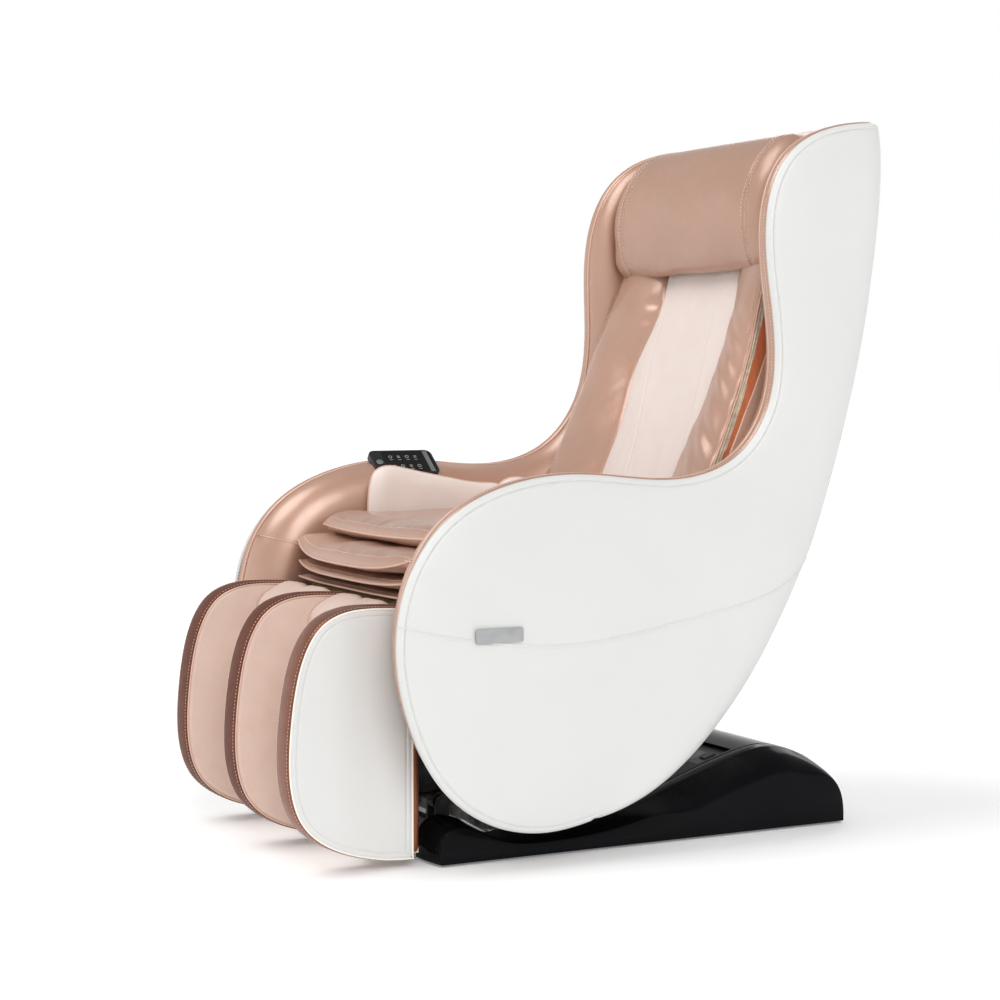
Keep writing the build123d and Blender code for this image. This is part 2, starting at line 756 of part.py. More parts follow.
# ---------------------------------------------------------------- base: steel frame
RAIL_Z = 17
UPRIGHT_FEET = (-190, -110)
with BuildPart() as base_frame_tubes:
    for x in (-233, 233):
        with BuildSketch(Plane.XZ.offset(-at(-318, 0)[0])):
            with Locations((x, RAIL_Z)):
                Rectangle(28, 18)
                Rectangle(23, 13, mode=Mode.SUBTRACT)
        extrude(amount=-680)
    for y in (-250, UPRIGHT_FEET[0] + 12, UPRIGHT_FEET[1] - 12):
        add(tube(y, RAIL_Z, -RUNNER_IN + GAP, RUNNER_IN - GAP, 18))
save("base_frame_tubes", base_frame_tubes.part)

with BuildPart() as pivot_uprights:
    y0, z0 = RECLINE_PIVOT
    with BuildSketch(side_plane(UPRIGHT_X)):
        with BuildLine():
            Polyline(*along([(UPRIGHT_FEET[0], 26.3), (UPRIGHT_FEET[1], 26.3),
                             (y0 + 18, z0 + 4), (y0 - 18, z0 + 4)]), close=True)
        make_face()
        with Locations(at(y0, z0)):
            Circle(20)
    extrude(amount=8)
    with BuildSketch(side_plane(UPRIGHT_X - 4)):
        with Locations(at(y0, z0)):
            Circle(10)
    extrude(amount=36)
    mirror(about=Plane.YZ)
save("pivot_uprights", pivot_uprights.part)

FEET_Y = (-312, 340)
with BuildPart() as feet:
    with BuildSketch(Plane.XY):
        with Locations(*[(x, at(y, 0)[0]) for x in (-233, 233) for y in FEET_Y]):
            Circle(14)
    extrude(amount=RAIL_Z - 9.3)
save("feet", feet.part)

with BuildPart() as control_box:
    with Locations((0, at(285, 0)[0], 50)):
        Box(220, 110, 78)
    fillet(control_box.edges().filter_by(Axis.Z), 6)
save("control_box", control_box.part)

# ---------------------------------------------------------------- recline actuator
RECLINE_FOOT = (-250, 60)
span = (RECLINE_EYE[0] - RECLINE_FOOT[0], RECLINE_EYE[1] - RECLINE_FOOT[1])
REACH = hypot(*span)


def recline_axis_plane(distance):
    """A plane across the actuator, this far from its foot towards the body."""
    y, z = at(*RECLINE_FOOT)
    u = (span[0] / REACH, span[1] / REACH)
    return Plane(origin=(RECLINE_X, y + u[0] * distance, z + u[1] * distance),
                 x_dir=(1, 0, 0), z_dir=(0, u[0], u[1]))


with BuildPart() as actuator_clevis:
    for x in (RECLINE_X - 17, RECLINE_X + 11):
        with BuildSketch(side_plane(x)):
            with BuildLine():
                Polyline(*along([(-263, 26.3), (-237, 26.3), (-240, 66), (-260, 66)]), close=True)
            make_face()
            with Locations(at(*RECLINE_FOOT)):
                Circle(10)
        extrude(amount=PLATE)
    with BuildSketch(side_plane(RECLINE_X - 18)):
        with Locations(at(*RECLINE_FOOT)):
            Circle(EYE_PIN_R)
    extrude(amount=36)
save("actuator_clevis", actuator_clevis.part)

with BuildPart() as recline_motor:
    with BuildSketch(side_plane(RECLINE_X - 10)):
        with Locations(at(*RECLINE_FOOT)):
            Circle(14)
    extrude(amount=20)
    with BuildSketch(recline_axis_plane(8)):
        Rectangle(20, 24)
    extrude(amount=22)
    with BuildSketch(recline_axis_plane(30)):
        RectangleRounded(44, 44, 6)
    extrude(amount=50)
    with BuildSketch(recline_axis_plane(80)):
        Circle(18)
    extrude(amount=150)
    with BuildSketch(recline_axis_plane(100)):
        Circle(9.25)
    extrude(amount=140, mode=Mode.SUBTRACT)
    with BuildSketch(side_plane(RECLINE_X - 12)):
        with Locations(at(*RECLINE_FOOT)):
            Circle(EYE_PIN_R + PIN_FIT)
    extrude(amount=24, mode=Mode.SUBTRACT)
save("recline_motor", recline_motor.part)

with BuildPart() as recline_rod:
    with BuildSketch(recline_axis_plane(185)):
        Circle(9)
    extrude(amount=REACH - 185 - 12)
    with BuildSketch(side_plane(RECLINE_X - 8)):
        with Locations(at(*RECLINE_EYE)):
            Circle(14)
    extrude(amount=16)
    with BuildSketch(side_plane(RECLINE_X - 9)):
        with Locations(at(*RECLINE_EYE)):
            Circle(EYE_PIN_R + 2.6)
    extrude(amount=18, mode=Mode.SUBTRACT)
save("recline_rod", recline_rod.part)
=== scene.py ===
"""Looks of the massage chair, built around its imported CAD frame.

Outlines are side views: (y, z) pairs in millimetres, with y measured from the seat datum, which
lies DATUM behind the middle of the box. X is the sitter's left. mesh_piece() turns them to metres.
"""
from math import cos, pi, radians, sin

import bmesh
import bpy
import numpy as np
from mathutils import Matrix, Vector, noise
from mathutils.geometry import delaunay_2d_cdt


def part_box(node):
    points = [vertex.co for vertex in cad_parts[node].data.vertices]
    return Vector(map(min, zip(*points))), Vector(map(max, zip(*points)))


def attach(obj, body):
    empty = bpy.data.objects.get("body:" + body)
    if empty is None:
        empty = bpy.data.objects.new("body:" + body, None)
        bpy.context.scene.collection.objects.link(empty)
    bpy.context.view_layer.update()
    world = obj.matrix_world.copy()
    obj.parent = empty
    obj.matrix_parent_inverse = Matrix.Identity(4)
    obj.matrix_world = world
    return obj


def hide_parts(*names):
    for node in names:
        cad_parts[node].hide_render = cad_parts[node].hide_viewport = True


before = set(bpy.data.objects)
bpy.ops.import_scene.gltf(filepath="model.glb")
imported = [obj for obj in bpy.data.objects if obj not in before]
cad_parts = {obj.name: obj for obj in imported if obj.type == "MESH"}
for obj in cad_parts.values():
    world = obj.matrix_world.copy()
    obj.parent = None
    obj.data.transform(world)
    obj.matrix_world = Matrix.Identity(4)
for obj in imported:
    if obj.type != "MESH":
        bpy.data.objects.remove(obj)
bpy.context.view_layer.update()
DATUM = 58.0
MM = 0.001
scene = bpy.context.scene


# ================================================================ curves and surfaces
def smooth(t):
    t = np.clip(t, 0.0, 1.0)
    return t * t * (3 - 2 * t)


def bell(x, width):
    return np.exp(-(x / width) ** 2)


def rounded(gap, r):
    """How far an edge rounded with radius r has dropped at a distance from the edge."""
    return r - np.sqrt(r ** 2 - (r - np.minimum(gap, r)) ** 2)


def unit(rows):
    return rows / np.linalg.norm(rows, axis=1)[:, None]


def looped(ring):
    return np.vstack([ring, ring[:1]])


def at_x(x, line):
    """3-D points of a side-view line at the given x."""
    return np.column_stack([np.full(len(line), x), line])


def travel(points):
    """Distance along a polyline up to each of its points."""
    return np.concatenate([[0], np.cumsum(np.linalg.norm(np.diff(points, axis=0), axis=1))])


def along(points, run, at):
    """Rows at the distances `at` along a polyline, whose travel is `run`."""
    return np.column_stack([np.interp(at, run, column) for column in points.T])


def evenly(points, step):
    """Points about `step` apart along a polyline."""
    points = np.asarray(points, float)
    run = travel(points)
    return along(points, run, np.linspace(0, run[-1], max(2, int(round(run[-1] / step)) + 1)))


def spline(points, step):
    """Points about `step` apart on a natural cubic spline through the given points."""
    p = np.asarray(points, float)
    h = np.linalg.norm(np.diff(p, axis=0), axis=1)
    t = travel(p)
    n = len(p)
    a, b = np.eye(n), np.zeros_like(p)
    for i in range(1, n - 1):
        a[i, i - 1:i + 2] = h[i - 1], 2 * (h[i - 1] + h[i]), h[i]
        b[i] = 6 * ((p[i + 1] - p[i]) / h[i] - (p[i] - p[i - 1]) / h[i - 1])
    m = np.linalg.solve(a, b)
    at = np.linspace(0, t[-1], int(t[-1]) + 2)
    i = np.clip(np.searchsorted(t, at, side="right") - 1, 0, n - 2)
    u, v, w = (at - t[i])[:, None], (t[i + 1] - at)[:, None], h[i][:, None]
    fine = ((m[i] * v ** 3 + m[i + 1] * u ** 3) / (6 * w)
            + (p[i] / w - m[i] * w / 6) * v + (p[i + 1] / w - m[i + 1] * w / 6) * u)
    return evenly(fine, step)


def steps(line, closed=False):
    """Unit direction of a line at each of its points."""
    return unit(np.roll(line, -1, 0) - np.roll(line, 1, 0) if closed else np.gradient(line, axis=0))


def inward(line, closed=False):
    """Unit normals to the left of a side-view line."""
    d = steps(line, closed)
    return np.column_stack([-d[:, 1], d[:, 0]])


def distance(points, line):
    """Distance of each point to a polyline."""
    a, b = line[:-1], line[1:]
    ab = b - a
    size = (ab ** 2).sum(1) + 1e-12
    best = np.full(len(points), 1e9)
    for start in range(0, len(points), 2000):
        ap = points[start:start + 2000, None] - a[None]
        t = np.clip((ap * ab).sum(2) / size, 0, 1)
        gap = np.linalg.norm(ap - t[..., None] * ab, axis=2)
        best[start:start + 2000] = gap.min(1)
    return best


def inside(points, ring):
    x, y = points[:, 0][:, None], points[:, 1][:, None]
    x1, y1 = ring[:, 0], ring[:, 1]
    x2, y2 = np.roll(x1, -1), np.roll(y1, -1)
    cut = (y1 > y) != (y2 > y)
    with np.errstate(divide="ignore", invalid="ignore"):
        at = (x2 - x1) * (y - y1) / (y2 - y1) + x1
    return (cut & (x < at)).sum(1) % 2 == 1


def fill(ring, insets, step):
    """Fills a closed side-view ring: vertex rows at the given insets, then a coarser grid.
    Returns the 2-D vertices and the faces; the ring's own vertices come first."""
    normal = inward(ring, closed=True)
    rows = [ring]
    for d in insets:
        row = ring + normal * d
        rows.append(row[(distance(row, looped(ring)) > 0.97 * d - 0.05) & inside(row, ring)])
    low, high = ring.min(0), ring.max(0)
    y, z = np.meshgrid(np.arange(low[0], high[0], step), np.arange(low[1], high[1], step * 0.87))
    y[::2] += step / 2
    grid = np.column_stack([y.ravel(), z.ravel()])
    grid = grid[inside(grid, ring)]
    rows.append(grid[distance(grid, looped(ring)) > insets[-1] + 0.6 * step])
    count = len(ring)
    edges = [(i, (i + 1) % count) for i in range(count)]
    out = delaunay_2d_cdt([Vector(p) for p in np.vstack(rows)], edges, [], 1, 1e-4)
    return np.array([v[:] for v in out[0]]), [list(f) for f in out[2]]


def sheet(rows, close_rows=False, close_columns=False):
    """Vertices and faces of a surface through rows of points, all equally long."""
    n, m = len(rows), len(rows[0])
    faces = []
    for i in range(n if close_rows else n - 1):
        for j in range(m if close_columns else m - 1):
            a, b = i * m, (i + 1) % n * m
            c, d = j, (j + 1) % m
            faces.append([a + c, a + d, b + d, b + c])
    return np.vstack(rows), faces


def capped(rings, flip=False):
    """A closed form through rings of points, with flat ends."""
    verts, faces = sheet(rings, close_columns=True)
    m = len(rings[0])
    ends = [list(range(m)), list(range(len(verts) - m, len(verts)))[::-1]]
    return verts, faces + ([end[::-1] for end in ends] if flip else ends)


def tube(path, radius, closed=False, sides=10):
    """Round tube along a 3-D path, with its ends closed."""
    path = np.asarray(path, float)
    t = steps(path, closed)
    side = np.cross(t[0], [0.3, 0.2, 0.93])
    across = []
    for way in t:
        side = side - way * side.dot(way)
        side /= np.linalg.norm(side)
        across.append(side)
    across = np.array(across)
    up = np.cross(t, across)
    turn = np.linspace(0, 2 * pi, sides, endpoint=False)[None, :, None]
    rings = path[:, None] + (across[:, None] * np.cos(turn) + up[:, None] * np.sin(turn)) * radius
    return sheet(rings, True, True) if closed else capped(rings, flip=True)


THREAD = [(0.0, 0.35, -0.1), (0.18, 0.9, 0.125), (0.5, 1.0, 0.25), (0.82, 0.9, 0.125),
          (1.0, 0.35, -0.1)]     # place along a stitch, share of its radius, height


def stitches(path, normal, length=3.6, gap=1.8, radius=0.42):
    """A row of thread stitches along a path that lies on a surface with the given normals."""
    path, normal = np.asarray(path, float), np.asarray(normal, float)
    run = travel(path)
    starts = np.arange(gap, run[-1] - length, length + gap)
    turn = np.linspace(0, 2 * pi, 6, endpoint=False)[:, None]
    made = []
    for a, b, n in zip(along(path, run, starts), along(path, run, starts + length),
                       along(normal, run, starts + length / 2)):
        t = (b - a) / max(np.linalg.norm(b - a), 1e-6)
        n = n - t * n.dot(t)
        n /= max(np.linalg.norm(n), 1e-6)
        ring = np.cross(t, n)[None] * np.cos(turn) + n[None] * np.sin(turn)
        made.append(capped([a + (b - a) * u + n * high + ring * wide * radius
                            for u, wide, high in THREAD], flip=True))
    return joined(*made)


def joined(*parts):
    """Several (vertices, faces) lists as one."""
    verts, faces, first = [], [], 0
    for v, f in parts:
        verts.append(np.asarray(v, float))
        faces += [[first + k for k in face] for face in f]
        first += len(v)
    return np.vstack(verts), faces


def mirrored(part):
    return np.asarray(part[0]) * (-1, 1, 1), [face[::-1] for face in part[1]]


def both(part):
    return joined(part, mirrored(part))


def lumps(points, size, seed):
    """Smooth noise about -1 to 1 at each point; `size` is the length of its waves, per axis."""
    scaled = np.asarray(points, float) / np.asarray(size, float) + seed
    return np.array([noise.noise(Vector(p)) for p in scaled])


def mesh_piece(name, part, material, body="chair_body", nodes=(), merge=0.0,
               flat=False, solid=0.0, backing=None):
    """Makes one object from (vertices, faces) in millimetres about the seat datum."""
    verts, faces = part
    verts = (np.asarray(verts, float) + (0, DATUM, 0)) * MM
    mesh = bpy.data.meshes.new(name)
    mesh.from_pydata(verts.tolist(), [], faces)
    made = bmesh.new()
    made.from_mesh(mesh)
    if merge:
        bmesh.ops.remove_doubles(made, verts=made.verts, dist=merge * MM)
    bmesh.ops.recalc_face_normals(made, faces=made.faces)
    made.to_mesh(mesh)
    made.free()
    mesh.polygons.foreach_set("use_smooth", [not flat] * len(mesh.polygons))
    mesh.materials.append(material)
    obj = bpy.data.objects.new(name, mesh)
    scene.collection.objects.link(obj)
    if solid:
        wall = obj.modifiers.new("wall", "SOLIDIFY")
        wall.thickness = solid * MM
        wall.offset = -1
        if backing:
            mesh.materials.append(backing)
            wall.material_offset = 1
        apply_all(obj)
    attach(obj, body)
    if nodes:
        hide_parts(*nodes)
    return obj


def apply_all(obj):
    """Applies an object's modifiers."""
    shown = obj.evaluated_get(bpy.context.evaluated_depsgraph_get())
    mesh = bpy.data.meshes.new_from_object(shown)
    old = obj.data
    obj.modifiers.clear()
    obj.data = mesh
    bpy.data.meshes.remove(old)


# ================================================================ materials
class Nodes:
    """A small helper for writing shader trees."""

    def __init__(self, name):
        self.material = bpy.data.materials.new(name)
        self.material.use_nodes = True
        self.tree = self.material.node_tree
        self.shader = self.tree.nodes["Principled BSDF"]
        self.place = self.add("ShaderNodeTexCoord").outputs["Object"]

    def add(self, kind, **inputs):
        node = self.tree.nodes.new(kind)
        for key, value in inputs.items():
            self.set(node.inputs[key.replace("_", " ")], value)
        return node

    def set(self, socket, value):
        if isinstance(value, bpy.types.NodeSocket):
            self.tree.links.new(value, socket)
        else:
            socket.default_value = value

    def noise(self, scale, detail=3.0, roughness=0.5, stretch=None):
        where = self.place
        if stretch:
            where = self.add("ShaderNodeMapping", Vector=where, Scale=stretch).outputs["Vector"]
        return self.add("ShaderNodeTexNoise", Vector=where, Scale=scale, Detail=detail,
                        Roughness=roughness).outputs["Fac"]

    def cells(self, scale, feature="F1"):
        node = self.add("ShaderNodeTexVoronoi", Vector=self.place, Scale=scale)
        node.feature = feature
        return node.outputs["Distance"]

    def edges(self):
        return self.add("ShaderNodeNewGeometry").outputs["Pointiness"]

    def ramp(self, value, low, high, start=0.0, end=1.0):
        return self.add("ShaderNodeMapRange", Value=value, From_Min=low, From_Max=high,
                        To_Min=start, To_Max=end).outputs["Result"]

    def mix(self, factor, a, b):
        node = self.add("ShaderNodeMix")
        node.data_type = "RGBA"
        for socket, value in ((0, factor), (6, a), (7, b)):
            self.set(node.inputs[socket], value)
        return node.outputs[2]

    def blend(self, value, low, high, a, b, most=1.0):
        """Colour a below `low`, turning into b above `high`."""
        return self.mix(self.ramp(value, low, high, 0.0, most), a, b)

    def maths(self, kind, a, b):
        node = self.tree.nodes.new("ShaderNodeMath")
        node.operation = kind
        self.set(node.inputs[0], a)
        self.set(node.inputs[1], b)
        return node.outputs[0]

    def bump(self, height, strength, depth, **under):
        return self.add("ShaderNodeBump", Height=height, Strength=strength, Distance=depth,
                        **under).outputs["Normal"]

    def finish(self, base, roughness, **values):
        values.update(Base_Color=base, Roughness=roughness)
        for key, value in values.items():
            self.set(self.shader.inputs[key.replace("_", " ")], value)
        return self.material


def rgb(r, g, b):
    """A colour given as display values from 0 to 255."""
    return tuple(((c / 255 + 0.055) / 1.055) ** 2.4 if c > 10 else c / 3294
                 for c in (r, g, b)) + (1.0,)


def shade(colour, by):
    return tuple(min(1.0, c * by) for c in colour[:3]) + (1.0,)


def leather(name, colour, rough=0.42, metal=0.0, coat=0.0, grain=1.0, tone=0.07, warm=None,
            wrinkle=0.0, shine=0.5):
    """Coated leather: pebble grain, pores, soft tone changes, rubbed high spots."""
    n = Nodes(name)
    pebbles, fine = n.cells(620.0, "DISTANCE_TO_EDGE"), n.cells(1500.0)
    patchy = n.noise(34.0, 4.0, 0.6)
    base = n.blend(n.noise(5.0, 4.0, 0.6), 0.32, 0.68, shade(colour, 1 - tone),
                   shade(colour, 1 + tone))
    if warm:
        base = n.blend(patchy, 0.45, 0.8, base, warm, 0.35)
    creases = n.maths("MULTIPLY", n.ramp(pebbles, 0.0, 0.10, 1.0, 0.0), 0.10 * grain)
    base = n.mix(creases, base, shade(colour, 0.55))
    rubbed = n.maths("MULTIPLY", n.ramp(n.edges(), 0.52, 0.60, 0.0, 0.5),
                     n.ramp(patchy, 0.3, 0.7, 0.2, 1.0))
    base = n.mix(rubbed, base, shade(colour, 1.12))
    roughness = n.ramp(n.noise(60.0, 4.0, 0.65), 0.3, 0.7, rough - 0.045, rough + 0.06)
    height = n.maths("ADD", n.ramp(pebbles, 0.0, 0.14), n.maths("MULTIPLY", fine, 0.35))
    normal = n.bump(height, 0.16 * grain, 0.0004)
    normal = n.bump(n.noise(2600.0, 2.0), 0.05 * grain, 0.0002, Normal=normal)
    if wrinkle:
        folds = n.noise(26.0, 5.0, 0.55, (1.0, 0.55, 0.8))
        normal = n.bump(folds, wrinkle, 0.004, Normal=normal)
    return n.finish(base, roughness, Normal=normal, Metallic=metal, Coat_Weight=coat,
                    Coat_Roughness=0.24, Coat_IOR=1.8, Specular_IOR_Level=shine)


def moulded(name, colour, rough, texture=0.25, shine=0.5):
    """Injection-moulded plastic: fine texture, faint flow marks, scuffs."""
    n = Nodes(name)
    scuffs = n.noise(240.0, 6.0, 0.7, (1.0, 0.12, 1.0))
    flow = n.noise(7.0)
    base = n.blend(flow, 0.35, 0.65, shade(colour, 0.86), shade(colour, 1.16))
    base = n.blend(scuffs, 0.68, 0.80, base, (0.35, 0.35, 0.36, 1.0), 0.06)
    normal = n.bump(flow, 0.04, 0.002, Normal=n.bump(n.noise(900.0), texture, 0.0002))
    return n.finish(base, n.ramp(scuffs, 0.35, 0.75, rough, rough + 0.10), Normal=normal,
                    Specular_IOR_Level=shine)


def metal(name, colour, rough, brushed=(1.0, 1.0, 1.0), shine=1.0, speckle=0.2):
    """Metal: brushed lines or powder speckle, handling marks and edge wear."""
    n = Nodes(name)
    lines = n.noise(500.0, 4.0, 0.6, brushed)
    marks = n.noise(22.0, 5.0, 0.6)
    base = n.blend(marks, 0.35, 0.7, shade(colour, 0.82), shade(colour, 1.10))
    worn = n.maths("MULTIPLY", n.ramp(n.edges(), 0.53, 0.60), n.ramp(marks, 0.45, 0.7, 0.0, 0.8))
    base = n.mix(worn, base, (0.45, 0.44, 0.42, 1.0))
    return n.finish(base, n.ramp(lines, 0.3, 0.7, rough - 0.05, rough + 0.09),
                    Normal=n.bump(lines, speckle, 0.0003), Metallic=shine)


def rubber(name, colour):
    n = Nodes(name)
    dust = n.noise(40.0, 5.0, 0.7)
    base = n.blend(dust, 0.45, 0.75, colour, (0.14, 0.13, 0.12, 1.0), 0.4)
    return n.finish(base, n.ramp(dust, 0.3, 0.7, 0.62, 0.80),
                    Normal=n.bump(n.noise(1400.0), 0.3, 0.0003))


def plywood(name):
    n = Nodes(name)
    rings = n.noise(18.0, 6.0, 0.6, (1.0, 6.0, 1.2))
    fibres = n.noise(260.0, 4.0, 0.6, (1.0, 0.06, 1.0))
    base = n.blend(rings, 0.3, 0.7, rgb(176, 137, 92), rgb(205, 170, 122))
    base = n.blend(fibres, 0.5, 0.8, base, rgb(132, 96, 60), 0.35)
    return n.finish(base, n.ramp(fibres, 0.3, 0.7, 0.55, 0.72),
                    Normal=n.bump(fibres, 0.35, 0.0004))


def suede(name, colour):
    n = Nodes(name)
    nap = n.noise(160.0, 6.0, 0.7)
    brushed = n.noise(16.0, 4.0, 0.6, (1.0, 1.0, 0.35))
    base = n.blend(brushed, 0.35, 0.65, shade(colour, 0.7), shade(colour, 1.2))
    base = n.blend(nap, 0.5, 0.7, base, shade(colour, 1.5), 0.5)
    return n.finish(base, n.ramp(nap, 0.3, 0.7, 0.80, 0.95), Normal=n.bump(nap, 0.5, 0.0006),
                    Sheen_Weight=0.5, Sheen_Roughness=0.4)


def woven(name, colour, pitch):
    """Plain-weave lining cloth."""
    n = Nodes(name)
    weave = n.cells(pitch)
    slub = n.noise(120.0, 4.0, 0.6, (1.0, 0.2, 1.0))
    base = n.blend(slub, 0.35, 0.7, shade(colour, 0.75), shade(colour, 1.15))
    return n.finish(base, n.ramp(weave, 0.0, 0.6, 0.75, 0.9),
                    Normal=n.bump(weave, 0.6, 0.0004), Sheen_Weight=0.2)


def grey(value, blue):
    return value, value, blue, 1.0


white_leather = leather("white_leather", rgb(214, 214, 212), 0.46, coat=0.06, tone=0.012,
                        grain=0.8)
rose_leather = leather("rose_leather", rgb(184, 144, 123), 0.38, metal=0.30, coat=0.60,
                       tone=0.06, warm=rgb(192, 142, 118), wrinkle=0.05, grain=0.6)
# Rose leather darkened as painted shade and painted dark reflection, for the calf wall rims and the
# back board's binding.
rim_leather_painted_shade = leather("rim_leather_painted_shade", rgb(128, 76, 52), 0.36, metal=0.72, coat=0.06, tone=0.10,
                      warm=rgb(140, 92, 70))
pillow_leather = leather("pillow_leather", rgb(179, 139, 118), 0.40, metal=0.22, coat=0.40,
                         tone=0.05, warm=rgb(182, 137, 116), wrinkle=0.10, grain=0.9)
ivory_leather = leather("ivory_leather", rgb(226, 213, 206), 0.50, tone=0.02,
                        warm=rgb(228, 204, 192), grain=0.7, wrinkle=0.03)
# A still darker copy of the rim leather: painted shade for the far and middle calf rims, which face
# away from the key light.
rim_leather_deeper_painted_shade = leather("rim_leather_deeper_painted_shade", rgb(98, 54, 38), 0.50, metal=0.20, tone=0.12,
                           warm=rgb(124, 76, 56), shine=0.15)
blush_leather = leather("blush_leather", rgb(217, 193, 180), 0.40, metal=0.06, coat=0.12,
                        tone=0.05, warm=rgb(208, 172, 156), grain=0.8)
white_piping = leather("white_piping", rgb(240, 236, 228), 0.4, tone=0.02)
rose_piping = leather("rose_piping", rgb(214, 178, 160), 0.36, metal=0.25, tone=0.04)
white_thread = woven("white_thread", rgb(226, 222, 212), 2600.0)
rose_thread = woven("rose_thread", rgb(232, 208, 194), 2600.0)
tan_mesh = woven("tan_mesh", rgb(206, 190, 168), 700.0)
dark_backing = woven("dark_backing", rgb(26, 26, 28), 900.0)
orange_suede = suede("orange_suede", rgb(186, 104, 66))
gloss_black = moulded("gloss_black", grey(0.004, 0.005), 0.09, texture=0.02, shine=0.07)
satin_black = moulded("satin_black", grey(0.012, 0.013), 0.36, shine=0.35)
label_grey = moulded("label_grey", grey(0.10, 0.105), 0.45)
matte_black = moulded("matte_black", grey(0.03, 0.032), 0.55, texture=0.5)
glass_black = moulded("glass_black", grey(0.004, 0.005), 0.06, texture=0.0, shine=0.3)
panel_ink = moulded("panel_ink", rgb(190, 192, 196), 0.5, texture=0.1)
powder_steel = metal("powder_steel", grey(0.035, 0.038), 0.42, shine=0.25, speckle=0.5)
bare_steel = metal("bare_steel", rgb(150, 150, 152), 0.34, (1.0, 0.05, 1.0), speckle=0.15)
chrome_rod = metal("chrome_rod", rgb(212, 212, 214), 0.10, (1.0, 0.04, 0.04), speckle=0.04)
brushed_silver = metal("brushed_silver", rgb(176, 178, 180), 0.30, (1.0, 0.03, 1.0),
                       speckle=0.12)
black_rubber = rubber("black_rubber", grey(0.022, 0.022))
roller_rubber = rubber("roller_rubber", rgb(70, 66, 64))
raw_plywood = plywood("raw_plywood")

CAD_FINISH = {
    powder_steel: ("frame_side_left", "frame_side_right", "frame_cross_tubes", "side_spacers",
                   "base_frame_tubes", "pivot_uprights", "actuator_clevis", "leg_brackets",
                   "leg_hinge_frame"),
    bare_steel: ("massage_rails", "carriage_frame", "knead_arm_left", "knead_arm_right"),
    satin_black: ("knead_motor", "leg_actuator", "recline_motor", "air_pump", "control_box",
                  "power_panel", "console_housing"),
    matte_black: ("power_switch", "power_inlet"),
    gloss_black: ("base_deck",),
    glass_black: ("console_glass",),
    chrome_rod: ("leg_push_rod", "recline_rod"),
    brushed_silver: ("console_button", "side_badges"),
    black_rubber: ("feet",),
    roller_rubber: ("roller_upper_left", "roller_upper_right", "roller_lower_left",
                    "roller_lower_right"),
    raw_plywood: ("seat_pan", "side_board_left", "side_board_right"),
    blush_leather: ("leg_back_board",),
}
for material, names in CAD_FINISH.items():
    for name in names:
        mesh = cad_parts[name].data
        mesh.materials.clear()
        mesh.materials.append(material)

# ================================================================ the body's side view
BODY_EDGE = [(454, 1122), (392, 1118), (342, 1108), (284, 1082), (244, 1042), (217, 975),
             (212, 890), (219, 790), (202, 673), (141, 597), (35, 564), (-122, 574), (-271, 556),
             (-365, 505), (-415, 439), (-437, 350), (-416, 219), (-361, 122), (-285, 68),
             (-200, 50), (-115, 62), (9, 108), (116, 189), (225, 341), (307, 509), (371, 681),
             (428, 903), (452, 1095)]
RIM_END_Y = -120.0        # the sewn rim ends here, under the body
RIM_R = 8.0               # rounding of the white panel's edge
GROOVE = 9.5              # the topstitched groove runs this far inside the edge
CROWN = 17.0              # how far the padded side stands out of its rim
BEND_Z, TOP_Z = 457.0, 1122.0       # the body narrows between these heights
BORDER = 22.0             # width of the sewn border between the panel and the roll
ROLL_DEEP = 64.0          # depth of the thick roll along the arms and wings

body_edge = spline(BODY_EDGE, 8.0)
under = int(np.argmin(body_edge[:, 1]))
while body_edge[under, 0] < RIM_END_Y:
    under += 1
top_steps = np.array([27, 20, 14, 12, 11, 10, 9, 8, 5, 2.5, 0.8])
up_way = np.array([2.0, 27.0]) / np.hypot(2.0, 27.0)
body_ring = np.vstack([body_edge[:-1], body_edge[0] - top_steps[:, None] * up_way])
front_line = body_edge[:under + 1]
rear_line = np.vstack([body_ring[under:], body_edge[:1], body_edge[:1] + 150 * up_way])


def narrowing(wide, top):
    """A half width that is constant up to BEND_Z and then narrows towards the top."""
    return lambda z: wide - np.maximum(0, z - BEND_Z) * (wide - top) / (TOP_Z - BEND_Z)


half_width = narrowing(334.6, 273.0)        # at the rim
lining_half = narrowing(248.0, 236.5)       # between the arms


def corner_drop(p):
    """How far the side curves in towards the back's rounded corner."""
    r = (10 + 50 * smooth((p[:, 0] + 120) / 260)) * (1 - 0.25 * smooth((p[:, 1] - 860) / 220))
    return rounded(distance(p, rear_line), r)


def rim_drop(gap):
    """The rounded edge and the stitched groove, at a distance from the rim."""
    return rounded(gap, RIM_R), 1.7 * bell(gap - GROOVE, 1.0)


def side_x(p):
    """Outer face of the left side at side-view points."""
    gap = distance(p, front_line)
    edge, groove = rim_drop(gap)
    return half_width(p[:, 1]) - edge + CROWN * (1 - np.exp(-gap / 55)) - corner_drop(p) - groove


def recess(p):
    """Low at the front, the sewn border and the roll lie a little behind the panel's edge."""
    return 7.0 * smooth((540 - p[:, 1]) / 160) * smooth((-60 - p[:, 0]) / 120)


sewn_line = front_line + inward(front_line) * recess(front_line)[:, None]


def lining_x(p):
    """Inner face of the left arm and wing: a thick roll from the border to a flat face."""
    low = lining_half(p[:, 1])
    high = half_width(p[:, 1]) - BORDER - corner_drop(p)
    lean = 1 - np.clip(distance(p, sewn_line) / ROLL_DEEP, 0, 1)
    return low + np.maximum(high - low, 0) * (1 - np.sqrt(1 - lean ** 2))


# ---------------------------------------------------------------- white cover over sides and back
panel_2d, panel_faces = fill(
    body_ring, [0.7, 2.4, 4.8, 6.6, 7.7, 8.7, 9.5, 10.3, 11.3, 14, 20, 28, 38, 50, 64], 22.0)
left_side = (np.column_stack([side_x(panel_2d), panel_2d]), panel_faces)

